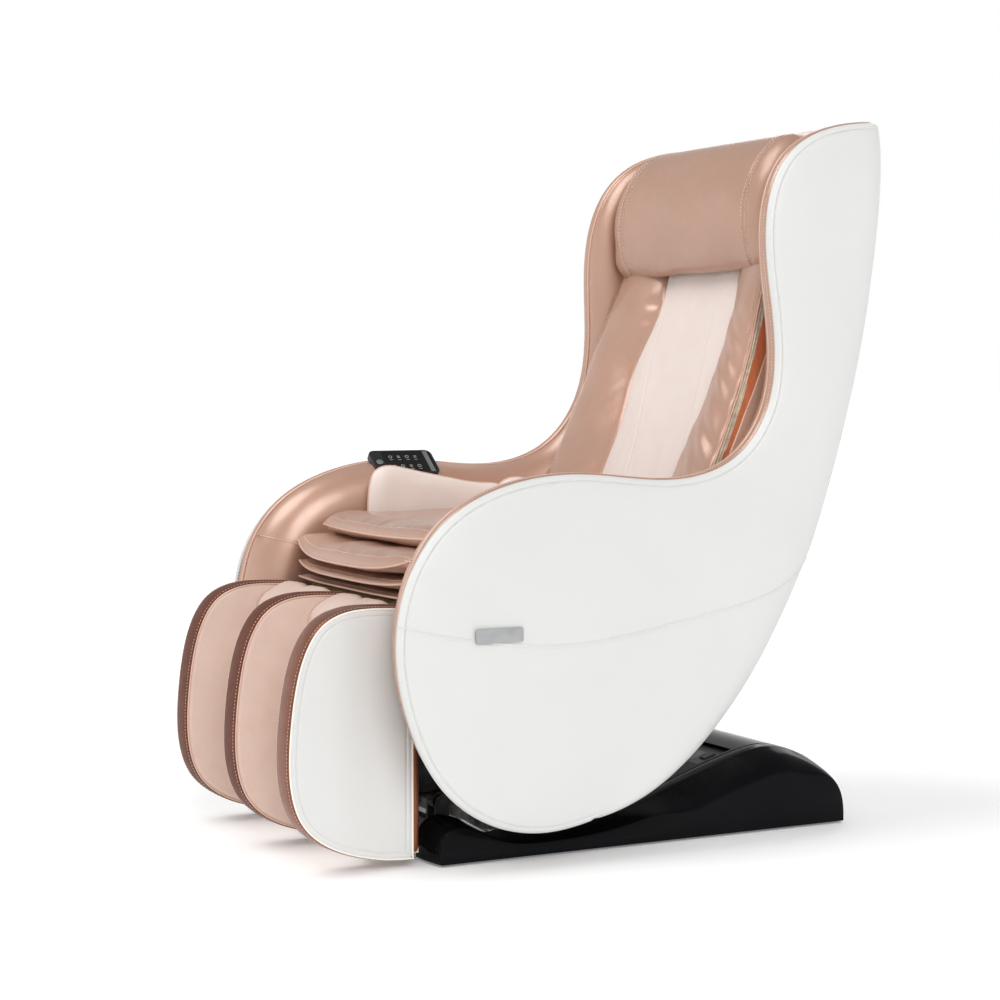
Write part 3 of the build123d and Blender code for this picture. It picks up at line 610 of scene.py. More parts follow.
first_rear = int(np.argmax((np.arange(len(body_ring)) > under) & (body_ring[:, 0] > 30)))
rear_rows = np.vstack([body_ring[first_rear:], body_edge[:1]])
rear_half = side_x(rear_rows)
rear_out = -inward(np.vstack([body_ring[first_rear - 1:], body_edge[:1] + 0.8 * up_way]))[1:]
rear_out[-1] = rear_out[-2]
BACK_BULGE = 5.0
across = np.linspace(-1, 1, 41)
top_gap = np.linalg.norm(rear_rows - body_edge[0], axis=1)
rear = []
for (y, z), half, (ny, nz), gap in zip(rear_rows, rear_half, rear_out, top_gap):
    shrink = sum(rim_drop(gap)) * smooth(8 * (1 - np.abs(across)))
    out = BACK_BULGE * (1 - across ** 2) ** 2 * smooth(gap / 60) - shrink
    rear.append(np.column_stack([across * half, y + ny * out, z + nz * out]))
mesh_piece("body_cover", joined(left_side, mirrored(left_side), sheet(rear)), white_leather,
           nodes=("side_cover_left", "side_cover_right", "back_cover"), merge=0.02, solid=5.0,
           backing=dark_backing)

seam_left = np.column_stack([rear_half, rear_rows + rear_out * 0.3])[2:-9]
mesh_piece("rear_corner_welts", joined(tube(seam_left, 1.5), tube(seam_left * (-1, 1, 1), 1.5)),
           white_piping)

# ---------------------------------------------------------------- border and rim, in one loop
rim_2d = sewn_line[::-1]
rim_left = np.column_stack([half_width(rim_2d[:, 1]) - corner_drop(rim_2d), rim_2d])
rim_up = at_x(0.0, -inward(front_line)[::-1])
back_x = np.linspace(1, -1, 42)[1:-1] * rim_left[-1, 0]
back_run = np.column_stack([back_x, np.tile(body_edge[0], (len(back_x), 1))])
rim_path = np.vstack([rim_left, back_run, rim_left[::-1] * (-1, 1, 1)])
rim_normal = np.vstack([rim_up, np.tile(rim_up[-1], (len(back_run), 1)), rim_up[::-1]])
rim_in = unit(np.cross(rim_normal, steps(rim_path)))


def on_rim(a, b):
    """A line along the rim, `a` further in and `b` further out of the edge."""
    return rim_path + rim_in * a + rim_normal * b


border = [(4.0, -3.0), (6.5, -0.6), (8.2, 0.9), (11.0, 1.8), (15.0, 2.2), (19.0, 1.6),
          (21.0, 0.6), (22.2, -1.0), (22.4, -4.0)]
mesh_piece("rim_border", sheet(np.stack([on_rim(a, b) for a, b in border], 1)), rose_leather,
           solid=1.2)
mesh_piece("rim_stitching", stitches(on_rim(10.6, 1.9), rim_normal, 3.4, 1.8), rose_thread)
mesh_piece("rim_piping", tube(on_rim(22.4, 0.2), 1.7), rose_piping)


def side_line(line, out, *stitch):
    """A line on the left side's face and, given stitch sizes, its row of stitches."""
    path = np.column_stack([side_x(line) + out, line])
    return stitches(path, np.tile([1.0, 0, 0], (len(line), 1)), *stitch) if stitch else path


groove_2d = (front_line + inward(front_line) * GROOVE)[4:-8]
mesh_piece("panel_topstitching", both(side_line(groove_2d, 0.35, 3.8, 1.4, 0.36)), white_thread)

# ---------------------------------------------------------------- welt seam round sides and back
WELT = [(-434, 366), (-377, 352), (-281, 336), (-183, 328), (-82, 336), (22, 354), (128, 374),
        (190, 393), (240, 420), (266, 438)]
WELT_END_Z = 441
STITCH_DROP = 4.2         # the row of stitches runs this far below the welt
welt_2d = spline(WELT, 5.0)
welt_2d = welt_2d[inside(welt_2d, body_ring)]
welt_left = side_line(welt_2d, -0.1)
end_y, end_z = body_ring[under + int(np.argmin(np.abs(body_ring[under:, 1] - WELT_END_Z)))]
end_half = side_x(np.array([[end_y, end_z]]))[0]
welt_back = []
for u in np.linspace(1, -1, 60)[1:-1]:
    bulge = BACK_BULGE * (1 - u * u) ** 2
    welt_back.append((u * end_half, end_y + 0.87 * bulge, end_z - 0.48 * bulge))
welt_path = np.vstack([welt_left, welt_back, welt_left[::-1] * (-1, 1, 1)])
mesh_piece("welt_seam", tube(welt_path, 1.15), white_leather)
mesh_piece("welt_stitching", both(side_line(welt_2d - (0, STITCH_DROP), 0.1, 3.2, 2.6, 0.36)),
           white_thread)

# ---------------------------------------------------------------- arm and wing linings
lining_stop = int(np.argmin(np.hypot(*(sewn_line - (-200, 57)).T)))
inner_limit = [(-190, 96), (60, 400), (230, 600), (262, 760), (410, 1090)]
lining_ring = np.vstack([sewn_line[2:lining_stop], evenly(inner_limit, 14.0)])
lining_2d, lining_faces = fill(lining_ring, [0.9, 3.4, 7.4, 12.6, 19, 27, 36, 46, 56, 66], 20.0)
lining_verts = np.column_stack([lining_x(lining_2d), lining_2d])
soft = lumps(lining_verts, (60, 70, 60), 3.0) * 1.1
lining_verts[:, 0] += soft * smooth(distance(lining_2d, sewn_line) / 30) * 0.9 + 0.4
left_lining = (lining_verts, lining_faces)
for part, label in ((left_lining, "left"), (mirrored(left_lining), "right")):
    mesh_piece(f"arm_roll_{label}", part, rose_leather, nodes=(f"arm_lining_{label}",),
               solid=4.0, backing=dark_backing)

seam_2d = np.array([-411.0, 457.0]) + np.linspace(5, 84, 60)[:, None] * (0.963, -0.27)
seam_path = np.column_stack([lining_x(seam_2d) + 0.2, seam_2d])
seam_out = unit(np.cross(np.gradient(seam_path, axis=0), [0, 0.27, 0.963]))
seam_out *= np.sign(seam_out @ np.array([-1.0, -1.0, 0.0]))[:, None]
cross_row = stitches(seam_path + seam_out * 0.5 + (0, 0, 4.0), seam_out, 3.4, 2.0, 0.42)
mesh_piece("arm_cross_seams", both(tube(seam_path, 1.1)), rose_piping)
mesh_piece("arm_cross_stitching", both(cross_row), rose_thread)

# ================================================================ leg rest
LEG_FRONT = [(-371, 12), (-410, 14), (-445, 20), (-506, 42), (-545, 76), (-562, 120),
             (-566, 170), (-563, 220), (-555, 275), (-540, 325), (-511, 365), (-474, 381),
             (-430, 384), (-371, 381)]
WALL_X = 218.0            # middle of the outer calf walls
CHANNEL_X = 109.0         # middle of each calf channel
FACE_X = 26.0             # a wall's side face stands this far out of its middle plane
leg_curve = spline(LEG_FRONT[::-1], 7.0)
leg_ring = np.vstack([leg_curve, evenly([(-371, 11), (-371, 381)], 9.0)[1:-1]])
leg_normal = inward(leg_ring, closed=True)
face_2d, face_faces = fill(leg_ring + leg_normal * 2.0,
                           [1.2, 2.6, 4.6, 6.6, 8.0, 9.2, 10.4, 11.6, 15, 22, 32, 44], 20.0)
rim_profile = [(4.5, 24.2), (2.0, 24.6), (0.6, 24.0), (-0.6, 21.5), (-1.6, 17.0), (-2.3, 10.0),
               (-2.6, 0.0)]
rim_profile += [(d, -x) for d, x in rim_profile[-2::-1]]


def face_out(p, groove):
    """How far a calf wall's side face stands out of the wall's middle plane."""
    gap = distance(p, looped(leg_ring))
    line = 1.5 * bell(gap - 11.2, 1.0) if groove else 0.0
    free = smooth((-430 - p[:, 0]) / 60)
    return FACE_X - rounded(gap, 9.0) * 0.55 + 5.0 * free * smooth(gap / 70) - line


def calf_wall(name, centre, left_white, right_white, rim_shade_look):
    for side, label, white in ((1, "left", left_white), (-1, "right", right_white)):
        x = centre + side * face_out(face_2d, white)
        faces = face_faces if side > 0 else [f[::-1] for f in face_faces]
        mesh_piece(f"calf_face_{name}_{label}", (np.column_stack([x, face_2d]), faces),
                   white_leather if white else blush_leather, "leg_rest",
                   (f"leg_wall_{name}",), solid=3.0)
        path = at_x(centre + side * 24.9, leg_ring + leg_normal * 1.6)
        mesh_piece(f"calf_piping_{name}_{label}", tube(path, 1.5, closed=True),
                   white_piping if white else rose_piping, "leg_rest")
    # The rim takes one of the painted-shade copies of the rose leather.
    rows = [at_x(centre + x, leg_ring + leg_normal * d) for d, x in rim_profile]
    mesh_piece(f"calf_rim_{name}", sheet(np.stack(rows, 1), close_rows=True), rim_shade_look,
               "leg_rest", solid=2.0)
    way = inward(leg_curve)
    rows = [stitches(at_x(centre + side * 19.5, leg_curve - way * 1.5), at_x(0.25 * side, -way),
                     3.2, 2.2, 0.4) for side in (1, -1)]
    mesh_piece(f"calf_stitching_{name}", joined(*rows), rose_thread, "leg_rest")


calf_wall("left", WALL_X, True, False, rim_leather_painted_shade)
# The middle and right walls' rims get the deeper painted shade.
calf_wall("center", 0.0, False, False, rim_leather_deeper_painted_shade)
calf_wall("right", -WALL_X, False, True, rim_leather_deeper_painted_shade)


def calf_channel(side):
    """Concave calf pad with four sewn air cells."""
    xs = np.linspace(-81, 81, 46)
    low_front = leg_curve[leg_curve[:, 1] < 165][::-1]
    sharp = 0.35              # how sharply the bowl turns into the wings beside it
    rows = []
    for z in np.linspace(26, 330, 90):
        cell = abs(sin((z - 26) / 304 * 4 * pi)) ** 0.35
        wing = max(-438.0, np.interp(z, low_front[:, 1], low_front[:, 0]) + 12)
        r = 91.5 - 5.5 * cell
        bowl = -500 + np.sqrt(np.maximum(r * r - xs ** 2, 0))
        y = np.log(np.exp((bowl - wing) * sharp) + 1) / sharp + wing
        y += 3.0 * smooth((np.abs(xs) - 70) / 11) - 2.0 * cell * smooth((np.abs(xs) - 60) / 10)
        rows.append(np.column_stack([side * CHANNEL_X + xs, y, np.full(len(xs), z)]))
    return sheet(rows)


mesh_piece("calf_air_pads", joined(calf_channel(1), calf_channel(-1)), ivory_leather,
           "leg_rest", ("calf_pads",), solid=14.0)

EAR_CLEAR_Y, EAR_HALF = -404.0, 22.0        # the notch that clears the hinge ears


def knee_roll(side):
    """Padded roll that closes a calf channel at the top, notched to clear the hinge ears."""
    line = spline([(-436, 322), (-448, 338), (-448, 357), (-433, 374), (-412, 385), (-394, 388),
                   (-381, 381), (-377, 366)], 4.0)
    share = np.linspace(0, 1, len(line))
    top = line[:, 1] > 374
    kept = np.interp(EAR_CLEAR_Y, line[top, 0], share[top])
    first = kept - 0.10
    notched = np.where(share < first, share,
                       first + (share - first) * (kept - first) / (1 - first))
    rows = []
    for x in np.linspace(-82, 82, 55):
        dip = 4.0 * smooth((abs(x) - 62) / 20)
        row = along(line, share, notched if abs(x) < EAR_HALF else share)
        rows.append(at_x(side * CHANNEL_X + x, row + np.array([dip * 0.5, -dip])))
    flat, faces = sheet(rows)
    flat[:, 2] += lumps(flat, (60, 40, 40), 14.0 + side) * 1.6
    return flat, faces


mesh_piece("knee_rolls", joined(knee_roll(1), knee_roll(-1)), blush_leather, "leg_rest",
           solid=3.0)

board_low, board_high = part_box("leg_back_board")
x0, z0, z1 = board_high[0] / MM - 0.2, board_low[2] / MM - 0.6, board_high[2] / MM + 0.6
y0, y1 = board_low[1] / MM - DATUM - 0.8, board_high[1] / MM - DATUM + 0.8
CORNER = 6.0              # rounding of the bound edge
bound = []
for cx, cz, start in ((x0 - CORNER, z1 - CORNER, 0), (-x0 + CORNER, z1 - CORNER, 90),
                      (-x0 + CORNER, z0 + CORNER, 180), (x0 - CORNER, z0 + CORNER, 270)):
    for turn in np.radians(np.linspace(start, start + 90, 8)):
        bound.append((cx + (CORNER + 1) * cos(turn), cz + (CORNER + 1) * sin(turn)))
bound = evenly(bound + bound[:1], 9.0)[:-1]
away = bound - np.array([0.0, (z0 + z1) / 2])
away /= np.abs(away).max(axis=1)[:, None]
rows = []
for y, lift in zip(np.linspace(y0, y1, 7), (-1.2, 0.2, 0.8, 1.0, 0.8, 0.2, -1.2)):
    row = bound + np.sign(away) * (np.abs(away) > 0.98) * lift
    rows.append(np.column_stack([row[:, 0], np.full(len(row), y), row[:, 1]]))
mesh_piece("back_board_binding", sheet(np.stack(rows, 1), close_rows=True), rim_leather_painted_shade,
           "leg_rest", solid=0.8)

# ================================================================ headrest pillow
BACK_ORIGIN, BACK_LEAN = np.array([188.0, 545.0]), radians(20.73)
UP = np.array([sin(BACK_LEAN), cos(BACK_LEAN)])
OUT = np.array([-cos(BACK_LEAN), sin(BACK_LEAN)])


def back_point(up, out):
    """Side-view points given along and out of the backrest."""
    return BACK_ORIGIN + np.multiply.outer(up, UP) + np.multiply.outer(out, OUT)


PILLOW_HALF, PILLOW_SEAM = 231.0, 191.0
pillow_front = spline([(318, 1106), (304, 1102), (279, 1086), (254, 1053), (238, 1018),
                       (231, 984), (232, 948), (239, 916), (253, 893), (264, 889), (268, 896)],
                      6.0)
pillow_rear = evenly([back_point(366, 63.5), back_point(576, 63.5)], 7.0)
pillow_ring = np.vstack([pillow_front, pillow_rear])
pillow_heart = np.array([292.0, 1002.0])

ends = PILLOW_SEAM + (PILLOW_HALF - PILLOW_SEAM) * np.sin(np.linspace(0, 1, 15)[1:] * pi / 2)
pillow_xs = np.concatenate([-ends[::-1], np.linspace(-PILLOW_SEAM, PILLOW_SEAM, 86), ends])
keep = 1 - 0.75 * smooth((955 - pillow_ring[:, 1]) / 50)
away = pillow_ring - pillow_heart
rows = []
for x in pillow_xs:
    beyond = max(0.0, (abs(x) - PILLOW_SEAM) / (PILLOW_HALF - PILLOW_SEAM))
    size = (1 - 0.30 * keep * (1 - np.sqrt(max(0.0, 1 - beyond ** 2))))[:, None]
    seam = bell(abs(x) - PILLOW_SEAM, 3.2) * 2.4
    rows.append(at_x(x, pillow_heart + away * size - unit(away) * seam))
flat, faces = capped(rows)
away = unit(flat[:, 1:] - pillow_heart)
free = smooth((pillow_rear[:, 0].mean() - 12 - flat[:, 1]) / 20)
gathers = lumps(flat, (9, 40, 40), 11.0) * np.exp(-np.abs(np.abs(flat[:, 0]) - PILLOW_SEAM) / 14)
soft_waves = lumps(flat, (90, 60, 60), 5.0) * 2.2 + lumps(flat, (34, 26, 30), 8.0) * 0.7
low_waves = lumps(flat, (46, 60, 24), 21.0) * 2.4 * smooth((950 - flat[:, 2]) / 60)
flat[:, 1:] += away * ((gathers * 1.5 + soft_waves + low_waves) * free)[:, None]
mesh_piece("headrest_pillow", (flat, faces), pillow_leather, "pillow", ("pillow",))

grid = flat.reshape(len(pillow_xs), len(pillow_ring), 3)
rows = []
for target in (PILLOW_SEAM - 5.5, PILLOW_SEAM + 5.0, -PILLOW_SEAM + 5.5, -PILLOW_SEAM - 5.0):
    after = int(np.searchsorted(pillow_xs, target))
    t = (target - pillow_xs[after - 1]) / (pillow_xs[after] - pillow_xs[after - 1])
    path = (grid[after - 1] * (1 - t) + grid[after] * t)[2:len(pillow_front) - 2]
    out = at_x(0.0, path[:, 1:] - pillow_heart)
    rows.append(stitches(path + unit(out) * 0.35, out, 4.2, 2.2, 0.62))
mesh_piece("pillow_stitching", joined(*rows), rose_thread, "pillow")

# ---------------------------------------------------------------- soft cloth on top of the back
line = spline([(300, 1090), (330, 1104), (360, 1112), (400, 1117), (430, 1119), (446, 1118),
               (450, 1104)], 5.0)
flat, faces = sheet([at_x(x, line - (0, 7 * (1 - smooth((236 - abs(x)) / 22))))
                     for x in np.linspace(-236, 236, 90)])
folds = lumps(flat, (120, 26, 40), 2.0) * 4.2 + lumps(flat, (46, 18, 40), 7.0) * 1.6
flat[:, 2] += folds * smooth((440 - flat[:, 1]) / 30) - 1.5
mesh_piece("top_pad_cloth", (flat, faces), pillow_leather, nodes=("top_pad",), solid=5.0)


# ================================================================ back pads
def on_back(x, up, out):
    """3-D points from a place across, up and out of the backrest."""
    side = back_point(np.asarray(up, float), np.asarray(out, float))
    return np.column_stack([np.broadcast_to(x, len(side)), side])


# (up, value) along each bolster; key 1 is the left one, -1 the right one
INNER_EDGE = {
    1: [(-95, 107), (8, 112), (110, 134), (196, 141), (294, 131), (358, 113), (545, 104)],
    -1: [(-95, 110), (8, 113), (81, 108), (200, 117), (293, 99), (361, 108), (545, 104)]}
OUTER_OUT = {
    1: [(-95, 49), (8, 48), (110, 46), (240, 53), (315, 63), (430, 60), (545, 54)],
    -1: [(-95, 70), (8, 71), (150, 64), (280, 57), (360, 51), (545, 50)]}
OUTER_X = {1: 231.0, -1: 238.0}
INNER_EDGE, OUTER_OUT = ({side: spline(points, 5.0) for side, points in table.items()}
                         for table in (INNER_EDGE, OUTER_OUT))


def inner_edge(side, up):
    """How far from the middle the strip beside the spine begins."""
    return np.interp(up, *INNER_EDGE[side].T)


def outer_out(side, up):
    """How far the strip's outer edge stands out of the back."""
    return np.interp(up, *OUTER_OUT[side].T)


STRIP = [(0, 6), (0, 31), (1.0, 36.5), (5, 41.5), (12, 46), (22, 50.5), (35, 54.8), (50, 58.2),
         (68, 60.8), (84, 61.4), (98, 60.6), (110, 58.8), (118, 56), (122.5, 52.6), (123.4, 49),
         (121.5, 46.2), (116, 44.5), (116, 6)]
PUCKERS = ((104, 300, 9, 4.2), (103, 270, 7, 3.2), (106, 236, 8, 2.0))     # across, up, size, deep


def bolster(side):
    """One satin strip beside the spine: rounded edges, drag lines and a sewn outer edge."""
    ring = evenly(STRIP + STRIP[:1], 4.0)[:-1]
    part, out = ring[:, 0] / 125.0, ring[:, 1]
    seed = 3.0 + side
    rows, places = [], []
    for up in np.linspace(-92, 540, 150):
        start = inner_edge(side, up)
        x = side * (start + part * (OUTER_X[side] - start))
        raised = 6 + (out - 6) * (0.80 + 0.20 * smooth((up + 95) / 40))
        raised = raised + (outer_out(side, up) - 54) * part ** 2 * smooth((out - 20) / 20)
        rows.append(on_back(x, up, raised))
        places.append(np.column_stack([x, np.full(len(x), up), raised]))
    flat, faces = capped(rows)
    x, up, raised = np.vstack(places).T
    slant = np.column_stack([(x * 0.75 * side + up * 0.66) / 17,
                             (up * 0.75 - x * 0.66 * side) / 95, np.full(len(x), seed)])
    drag = lumps(slant, 1.0, 0.0) * (2.4 if side > 0 else 0.8)
    shift = drag + lumps(flat, (70, 60, 60), seed + 4) * 2.0
    for place_x, place_up, size, deep in PUCKERS if side < 0 else ():
        reach = np.hypot((np.abs(x) - place_x) / 2.2, up - place_up)
        shift -= deep * bell(reach, size)
    flat[:, 1:] += OUT * (shift * smooth((raised - 30) / 22))[:, None]
    return flat, faces


for side, label in ((1, "left"), (-1, "right")):
    mesh_piece(f"back_bolster_cover_{label}", bolster(side), rose_leather,
               nodes=(f"back_bolster_{label}",))

# slack ivory cloth over the spine, with two converging sewn lines
share = np.linspace(-1, 1, 90)
heights = np.linspace(-92, 540, 120)
rows, xs = [], []
for up in heights:
    near, far = inner_edge(1, up) + 10, inner_edge(-1, up) + 10
    xs.append(np.where(share > 0, share * near, share * far))
    rows.append(on_back(xs[-1], up, 39.5 - 4.5 * np.abs(share) ** 5))
flat, faces = sheet(rows)
x, up = np.concatenate(xs), np.repeat(heights, len(share))
left = -34 - 52 * smooth((up + 10) / 320)
right = 108 - 34 * smooth((up - 40) / 280)
sewn = bell(x - left, 2.2) + bell(x - right, 2.2)
slack = lumps(flat, (60, 90, 90), 9.0) * 1.5 + lumps(flat, (24, 70, 80), 12.0) * 0.7
between = smooth((x - left) / 12) * smooth((right - x) / 12)
flat[:, 1:] += OUT * (slack - 1.8 * sewn - 1.0 * between)[:, None]
mesh_piece("back_pad_cover", (flat, faces), ivory_leather, nodes=("back_pad",), solid=16.0)

ups = np.linspace(-90, 538, 130)
edge_lines, edge_rows = [], []
for side in (1, -1):
    wobble = 0.9 * np.sin(ups / 37.0 + side) + 0.7 * np.sin(ups / 13.0)
    outer = OUTER_X[side] - 1.2
    height = outer_out(side, ups) - 4
    path = on_back(side * (outer + 0.5 * wobble), ups, height + 0.6 * wobble)
    edge_lines.append(tube(path, 1.3))
    row = on_back(side * (outer - 7.0 + 0.4 * wobble), ups, height + 6.4)
    out = at_x(side * 0.5, np.tile(OUT, (len(ups), 1)))
    edge_rows.append(stitches(row + out * 0.5, out, 3.6, 2.0, 0.42))
mesh_piece("bolster_piping", joined(*edge_lines), rose_piping)
mesh_piece("bolster_stitching", joined(*edge_rows), rose_thread)

LAYERS = ((8.5, 0.4, 2.0), (12.0, 1.4, 1.7), (15.0, 0.2, 2.0))     # fall, lift, half thickness


def edge_layers(side):
    """Loose cloth layers along the outer edge of the back pads."""
    parts = []
    for k, (fall, lift, thick) in enumerate(LAYERS):
        wave = 1.1 * np.sin(ups / 29.0 + 2 * k) + 0.8 * np.sin(ups / 11.0 + k)
        rows = []
        for a in np.linspace(0, 2 * pi, 12, endpoint=False):
            x = side * (OUTER_X[side] - 4.0 + lift + wave * 0.8 + 4.2 * cos(a))
            rows.append(on_back(x, ups, outer_out(side, ups) - fall + wave * 0.5 + thick * sin(a)))
        parts.append(capped(np.stack(rows, 1), flip=True))
    return joined(*parts)


mesh_piece("back_edge_layers", joined(edge_layers(1), edge_layers(-1)), tan_mesh)


def suede_low(side, up):
    """Where the suede strip ends and the rose gusset begins."""
    wide = np.interp(up, [-60, 40, 120, 300, 520], [5, 7, 10, 25, 27])
    return outer_out(side, up) - 15.5 - wide


def side_gusset(side, high_line, low_line, x_high, x_low, seed, amount):
    """A cloth strip beside the back pads, facing outwards."""
    share = np.linspace(0, 1, 12)
    x = side * (x_high + (x_low - x_high) * share)
    rows = []
    for up in np.linspace(-58, 518, 100):
        high, low = high_line(side, up), low_line(side, up)
        rows.append(on_back(x, up, high + (low - high) * share))
    flat, faces = sheet(rows)
    flat[:, 0] += lumps(flat, (40, 30, 46), seed) * amount
    return flat, faces


suede_strips = [side_gusset(side, lambda s, up: outer_out(s, up) - 13, suede_low, 230.5, 233.0,
                            4.0, 1.2) for side in (1, -1)]
rose_strips = [side_gusset(side, lambda s, up: suede_low(s, up) + 1, lambda s, up: -9.0, 233.6,
                           236.0, 6.0, 0.5) for side in (1, -1)]
mesh_piece("back_liner_cloth", joined(*suede_strips), orange_suede, nodes=("back_liner",),
           solid=1.5)
# The gusset takes the lighter piping leather as painted light, against the shade the near wing
# casts on it.
mesh_piece("back_gusset", joined(*rose_strips), rose_piping, solid=1.5)


# ================================================================ seat
def seat_pad(name, node, half, rear, front, low, high, seam, seed, amount):
    """A soft seat layer. Its front edge, lower and upper faces and edge seam are functions of
    the share of the way from the middle of the chair to the pad's side."""
    xs = np.linspace(-half, half, 72)
    turns = np.linspace(0, 1, 46)
    rows = []
    for x in xs:
        u = abs(x) / half
        level = seam(u)
        side = np.sqrt(max(0.0, 1 - max(0.0, (u - 0.93) / 0.07) ** 2)) * 0.85 + 0.15
        top, bottom = level + (high(u) - level) * side, level - (level - low(u)) * side
        y = rear + (front(u) - rear) * np.sin(turns * pi / 2)
        bow = np.sqrt(1 - (1 - np.minimum((y - front(u)) / 46, 1)) ** 2)
        upper = np.column_stack([y, level + (top - level) * bow])
        lower = np.column_stack([y, level - (level - bottom) * bow])
        rows.append(at_x(x, np.vstack([upper, lower[::-1][1:]])))
    flat, faces = capped(rows)
    behind = flat[:, 1] - front(0)
    near_front = smooth((flat[:, 1] - rear) / -220) * smooth(behind / 16)
    puff = lumps(flat, (70, 60, 200), seed) * amount
    puff = puff + lumps(flat, (28, 34, 200), seed + 2) * amount * 0.3
    puff += lumps(flat, (11, 60, 200), seed + 5) * np.exp(-behind / 30) * 0.55 * amount
    flat[:, 2] += puff * np.where(flat[:, 2] > seam(0.5), 1.0, -0.5) * near_front
    mesh_piece(name, (flat, faces), rose_leather, nodes=(node,))
    ends = [(x, front(abs(x) / half) - 0.4, seam(abs(x) / half)) for x in xs[1:-1]]
    mesh_piece(name + "_piping", tube(evenly(ends, 4.0), 1.9), rose_piping)
    seam_row = []
    for row in flat.reshape(len(xs), -1, 3)[2:-2, :len(turns)]:
        y = row[-1, 1] + 8.0
        seam_row.append((row[0, 0], y, np.interp(y, row[::-1, 1], row[::-1, 2])))
    seam_row = evenly(seam_row, 4.0)
    out = np.tile((0.0, -0.5, 0.87), (len(seam_row), 1))
    mesh_piece(name + "_stitching", stitches(seam_row, out, 3.8, 2.0, 0.5), rose_thread)


seat_pad("seat_flap_cover", "seat_top_flap", 200, 84, lambda u: -333 + 6 * u ** 4,
         lambda u: 458.0, lambda u: 497.0, lambda u: 472 + 5 * u ** 2, 2.0, 4.2)
seat_pad("seat_cushion_cover", "seat_cushion", 231, 108, lambda u: -384 + 26 * u ** 3,
         lambda u: 420 + 10 * u ** 3, lambda u: 459 + 3 * u ** 3,
         lambda u: 428 + 24 * u ** 3.5, 5.0, 3.4)
seat_pad("thigh_flap_cover", "thigh_flap", 230, 110, lambda u: -377 + 20 * u ** 3,
         lambda u: 398.0, lambda u: 419.0, lambda u: 405 + 12 * u ** 4, 8.0, 2.2)
seat_pad("seat_skirt_cover", "seat_skirt", 230, 120, lambda u: -367 + 8 * u ** 3,
         lambda u: 379.5, lambda u: 396.0, lambda u: 388 + 2 * u ** 4, 12.0, 1.2)

# ---------------------------------------------------------------- ivory hip pads
HIP = [(-234, 459), (-234, 500), (-231, 535), (-223, 557), (-206, 567), (-180, 566),
       (-140, 557), (-80, 545), (-23, 536), (20, 528), (36, 508)]
HIP_MID = 229.0
hip_ring = np.vstack([spline(HIP, 7.0), evenly([(36, 508), (36, 459), (-236, 459)], 9.0)[1:-1]])
hip_ring = hip_ring[::-1]
hip_2d, hip_faces = fill(hip_ring, [0.8, 2.5, 5, 8.5, 13, 19, 27, 37], 16.0)


def hip_side(sign, swell):
    gap = distance(hip_2d, looped(hip_ring))
    puffy = swell * np.sqrt(1 - (1 - np.minimum(gap / 30, 1)) ** 2)
    verts = np.column_stack([HIP_MID + sign * puffy, hip_2d])
    if sign < 0:
        waves = lumps(verts, (80, 60, 50), 4.0) * 1.6 + lumps(verts, (80, 22, 26), 9.0) * 0.5
        verts[:, 0] += waves * smooth(gap / 14)
    return verts, hip_faces if sign > 0 else [f[::-1] for f in hip_faces]


hip = joined(hip_side(-1, 17.0), hip_side(1, 14.0))
for part, label in ((hip, "left"), (mirrored(hip), "right")):
    mesh_piece(f"hip_pad_cover_{label}", part, ivory_leather, nodes=(f"hip_pad_{label}",),
               merge=0.05)
mesh_piece("hip_pad_piping", both(tube(at_x(HIP_MID, looped(hip_ring)), 1.4)), rose_piping)

# ================================================================ sled base
SLED_TOP = [(-346, 4), (-346, 20), (-338, 52), (-318, 64), (-285, 60), (-240, 40), (-150, 31),
            (-60, 37), (20, 54), (90, 79), (150, 100), (215, 119), (270, 127), (322, 113),
            (362, 88), (384, 48), (388, 12), (388, 4)]
FOOT_Z = 4.0
# (x, drop) across a runner's top, from its inner edge to its outer foot
RUNNER = [(195.0, 3.0), (195.6, 1.2), (197.4, 0.2), (201.0, 0.0), (214.0, 0.3), (219.5, 1.0),
          (222.0, 2.2), (228.0, 4.4), (236.0, 7.6), (245.0, 12.0), (254.0, 17.6), (261.0, 23.4),
          (265.5, 28.2), (268.4, 32.0), (269.6, 34.6), (270.0, 37.0)]
sled = spline(SLED_TOP[::-1], 7.0)
sled[:, 1] = np.maximum(sled[:, 1], FOOT_Z)
hump = smooth((sled[:, 0] - 10) / 90) * smooth((392 - sled[:, 0]) / 90)
rows = []
for x, drop in RUNNER:
    moved = sled + inward(sled) * (drop * (0.24 + 0.76 * hump))[:, None]
    moved[:, 1] = np.maximum(moved[:, 1], FOOT_Z)
    rows.append(at_x(x, moved))
feet = [rows[-1].copy(), rows[0].copy()]
for foot in feet:
    foot[:, 2] = FOOT_Z
rows = [feet[1]] + rows + [feet[0]]
runner = sheet(np.stack(rows, 1), close_columns=True)
for part, label in ((runner, "left"), (mirrored(runner), "right")):
    shell = mesh_piece(f"sled_cover_{label}", part, gloss_black, "base",
                       (f"base_runner_{label}",), merge=0.01)
    shell.modifiers.new("shading", "EDGE_SPLIT").split_angle = radians(38)
    apply_all(shell)

# ================================================================ control panel and label
TILT = radians(38)
PANEL_X, PANEL_Y, PANEL_Z = -288.0, -143.0, 563.0
PANEL_TOP = 12.0
SLOPE = radians(16.5)
DECK_X, DECK_Y, DECK_Z = 112.0, 186.0, 109.4


def on_panel(a, b, height):
    """A point on the tilted control panel: a across, b towards the rear."""
    return (PANEL_X + a * cos(TILT) + height * sin(TILT), PANEL_Y + b,
            PANEL_Z - a * sin(TILT) + height * cos(TILT))


def on_deck(a, b, height):
    """A point on the sloping deck at the rear: a to the left, b up the slope."""
    return (DECK_X + a, DECK_Y + b * cos(SLOPE) - height * sin(SLOPE),
            DECK_Z + b * sin(SLOPE) + height * cos(SLOPE))


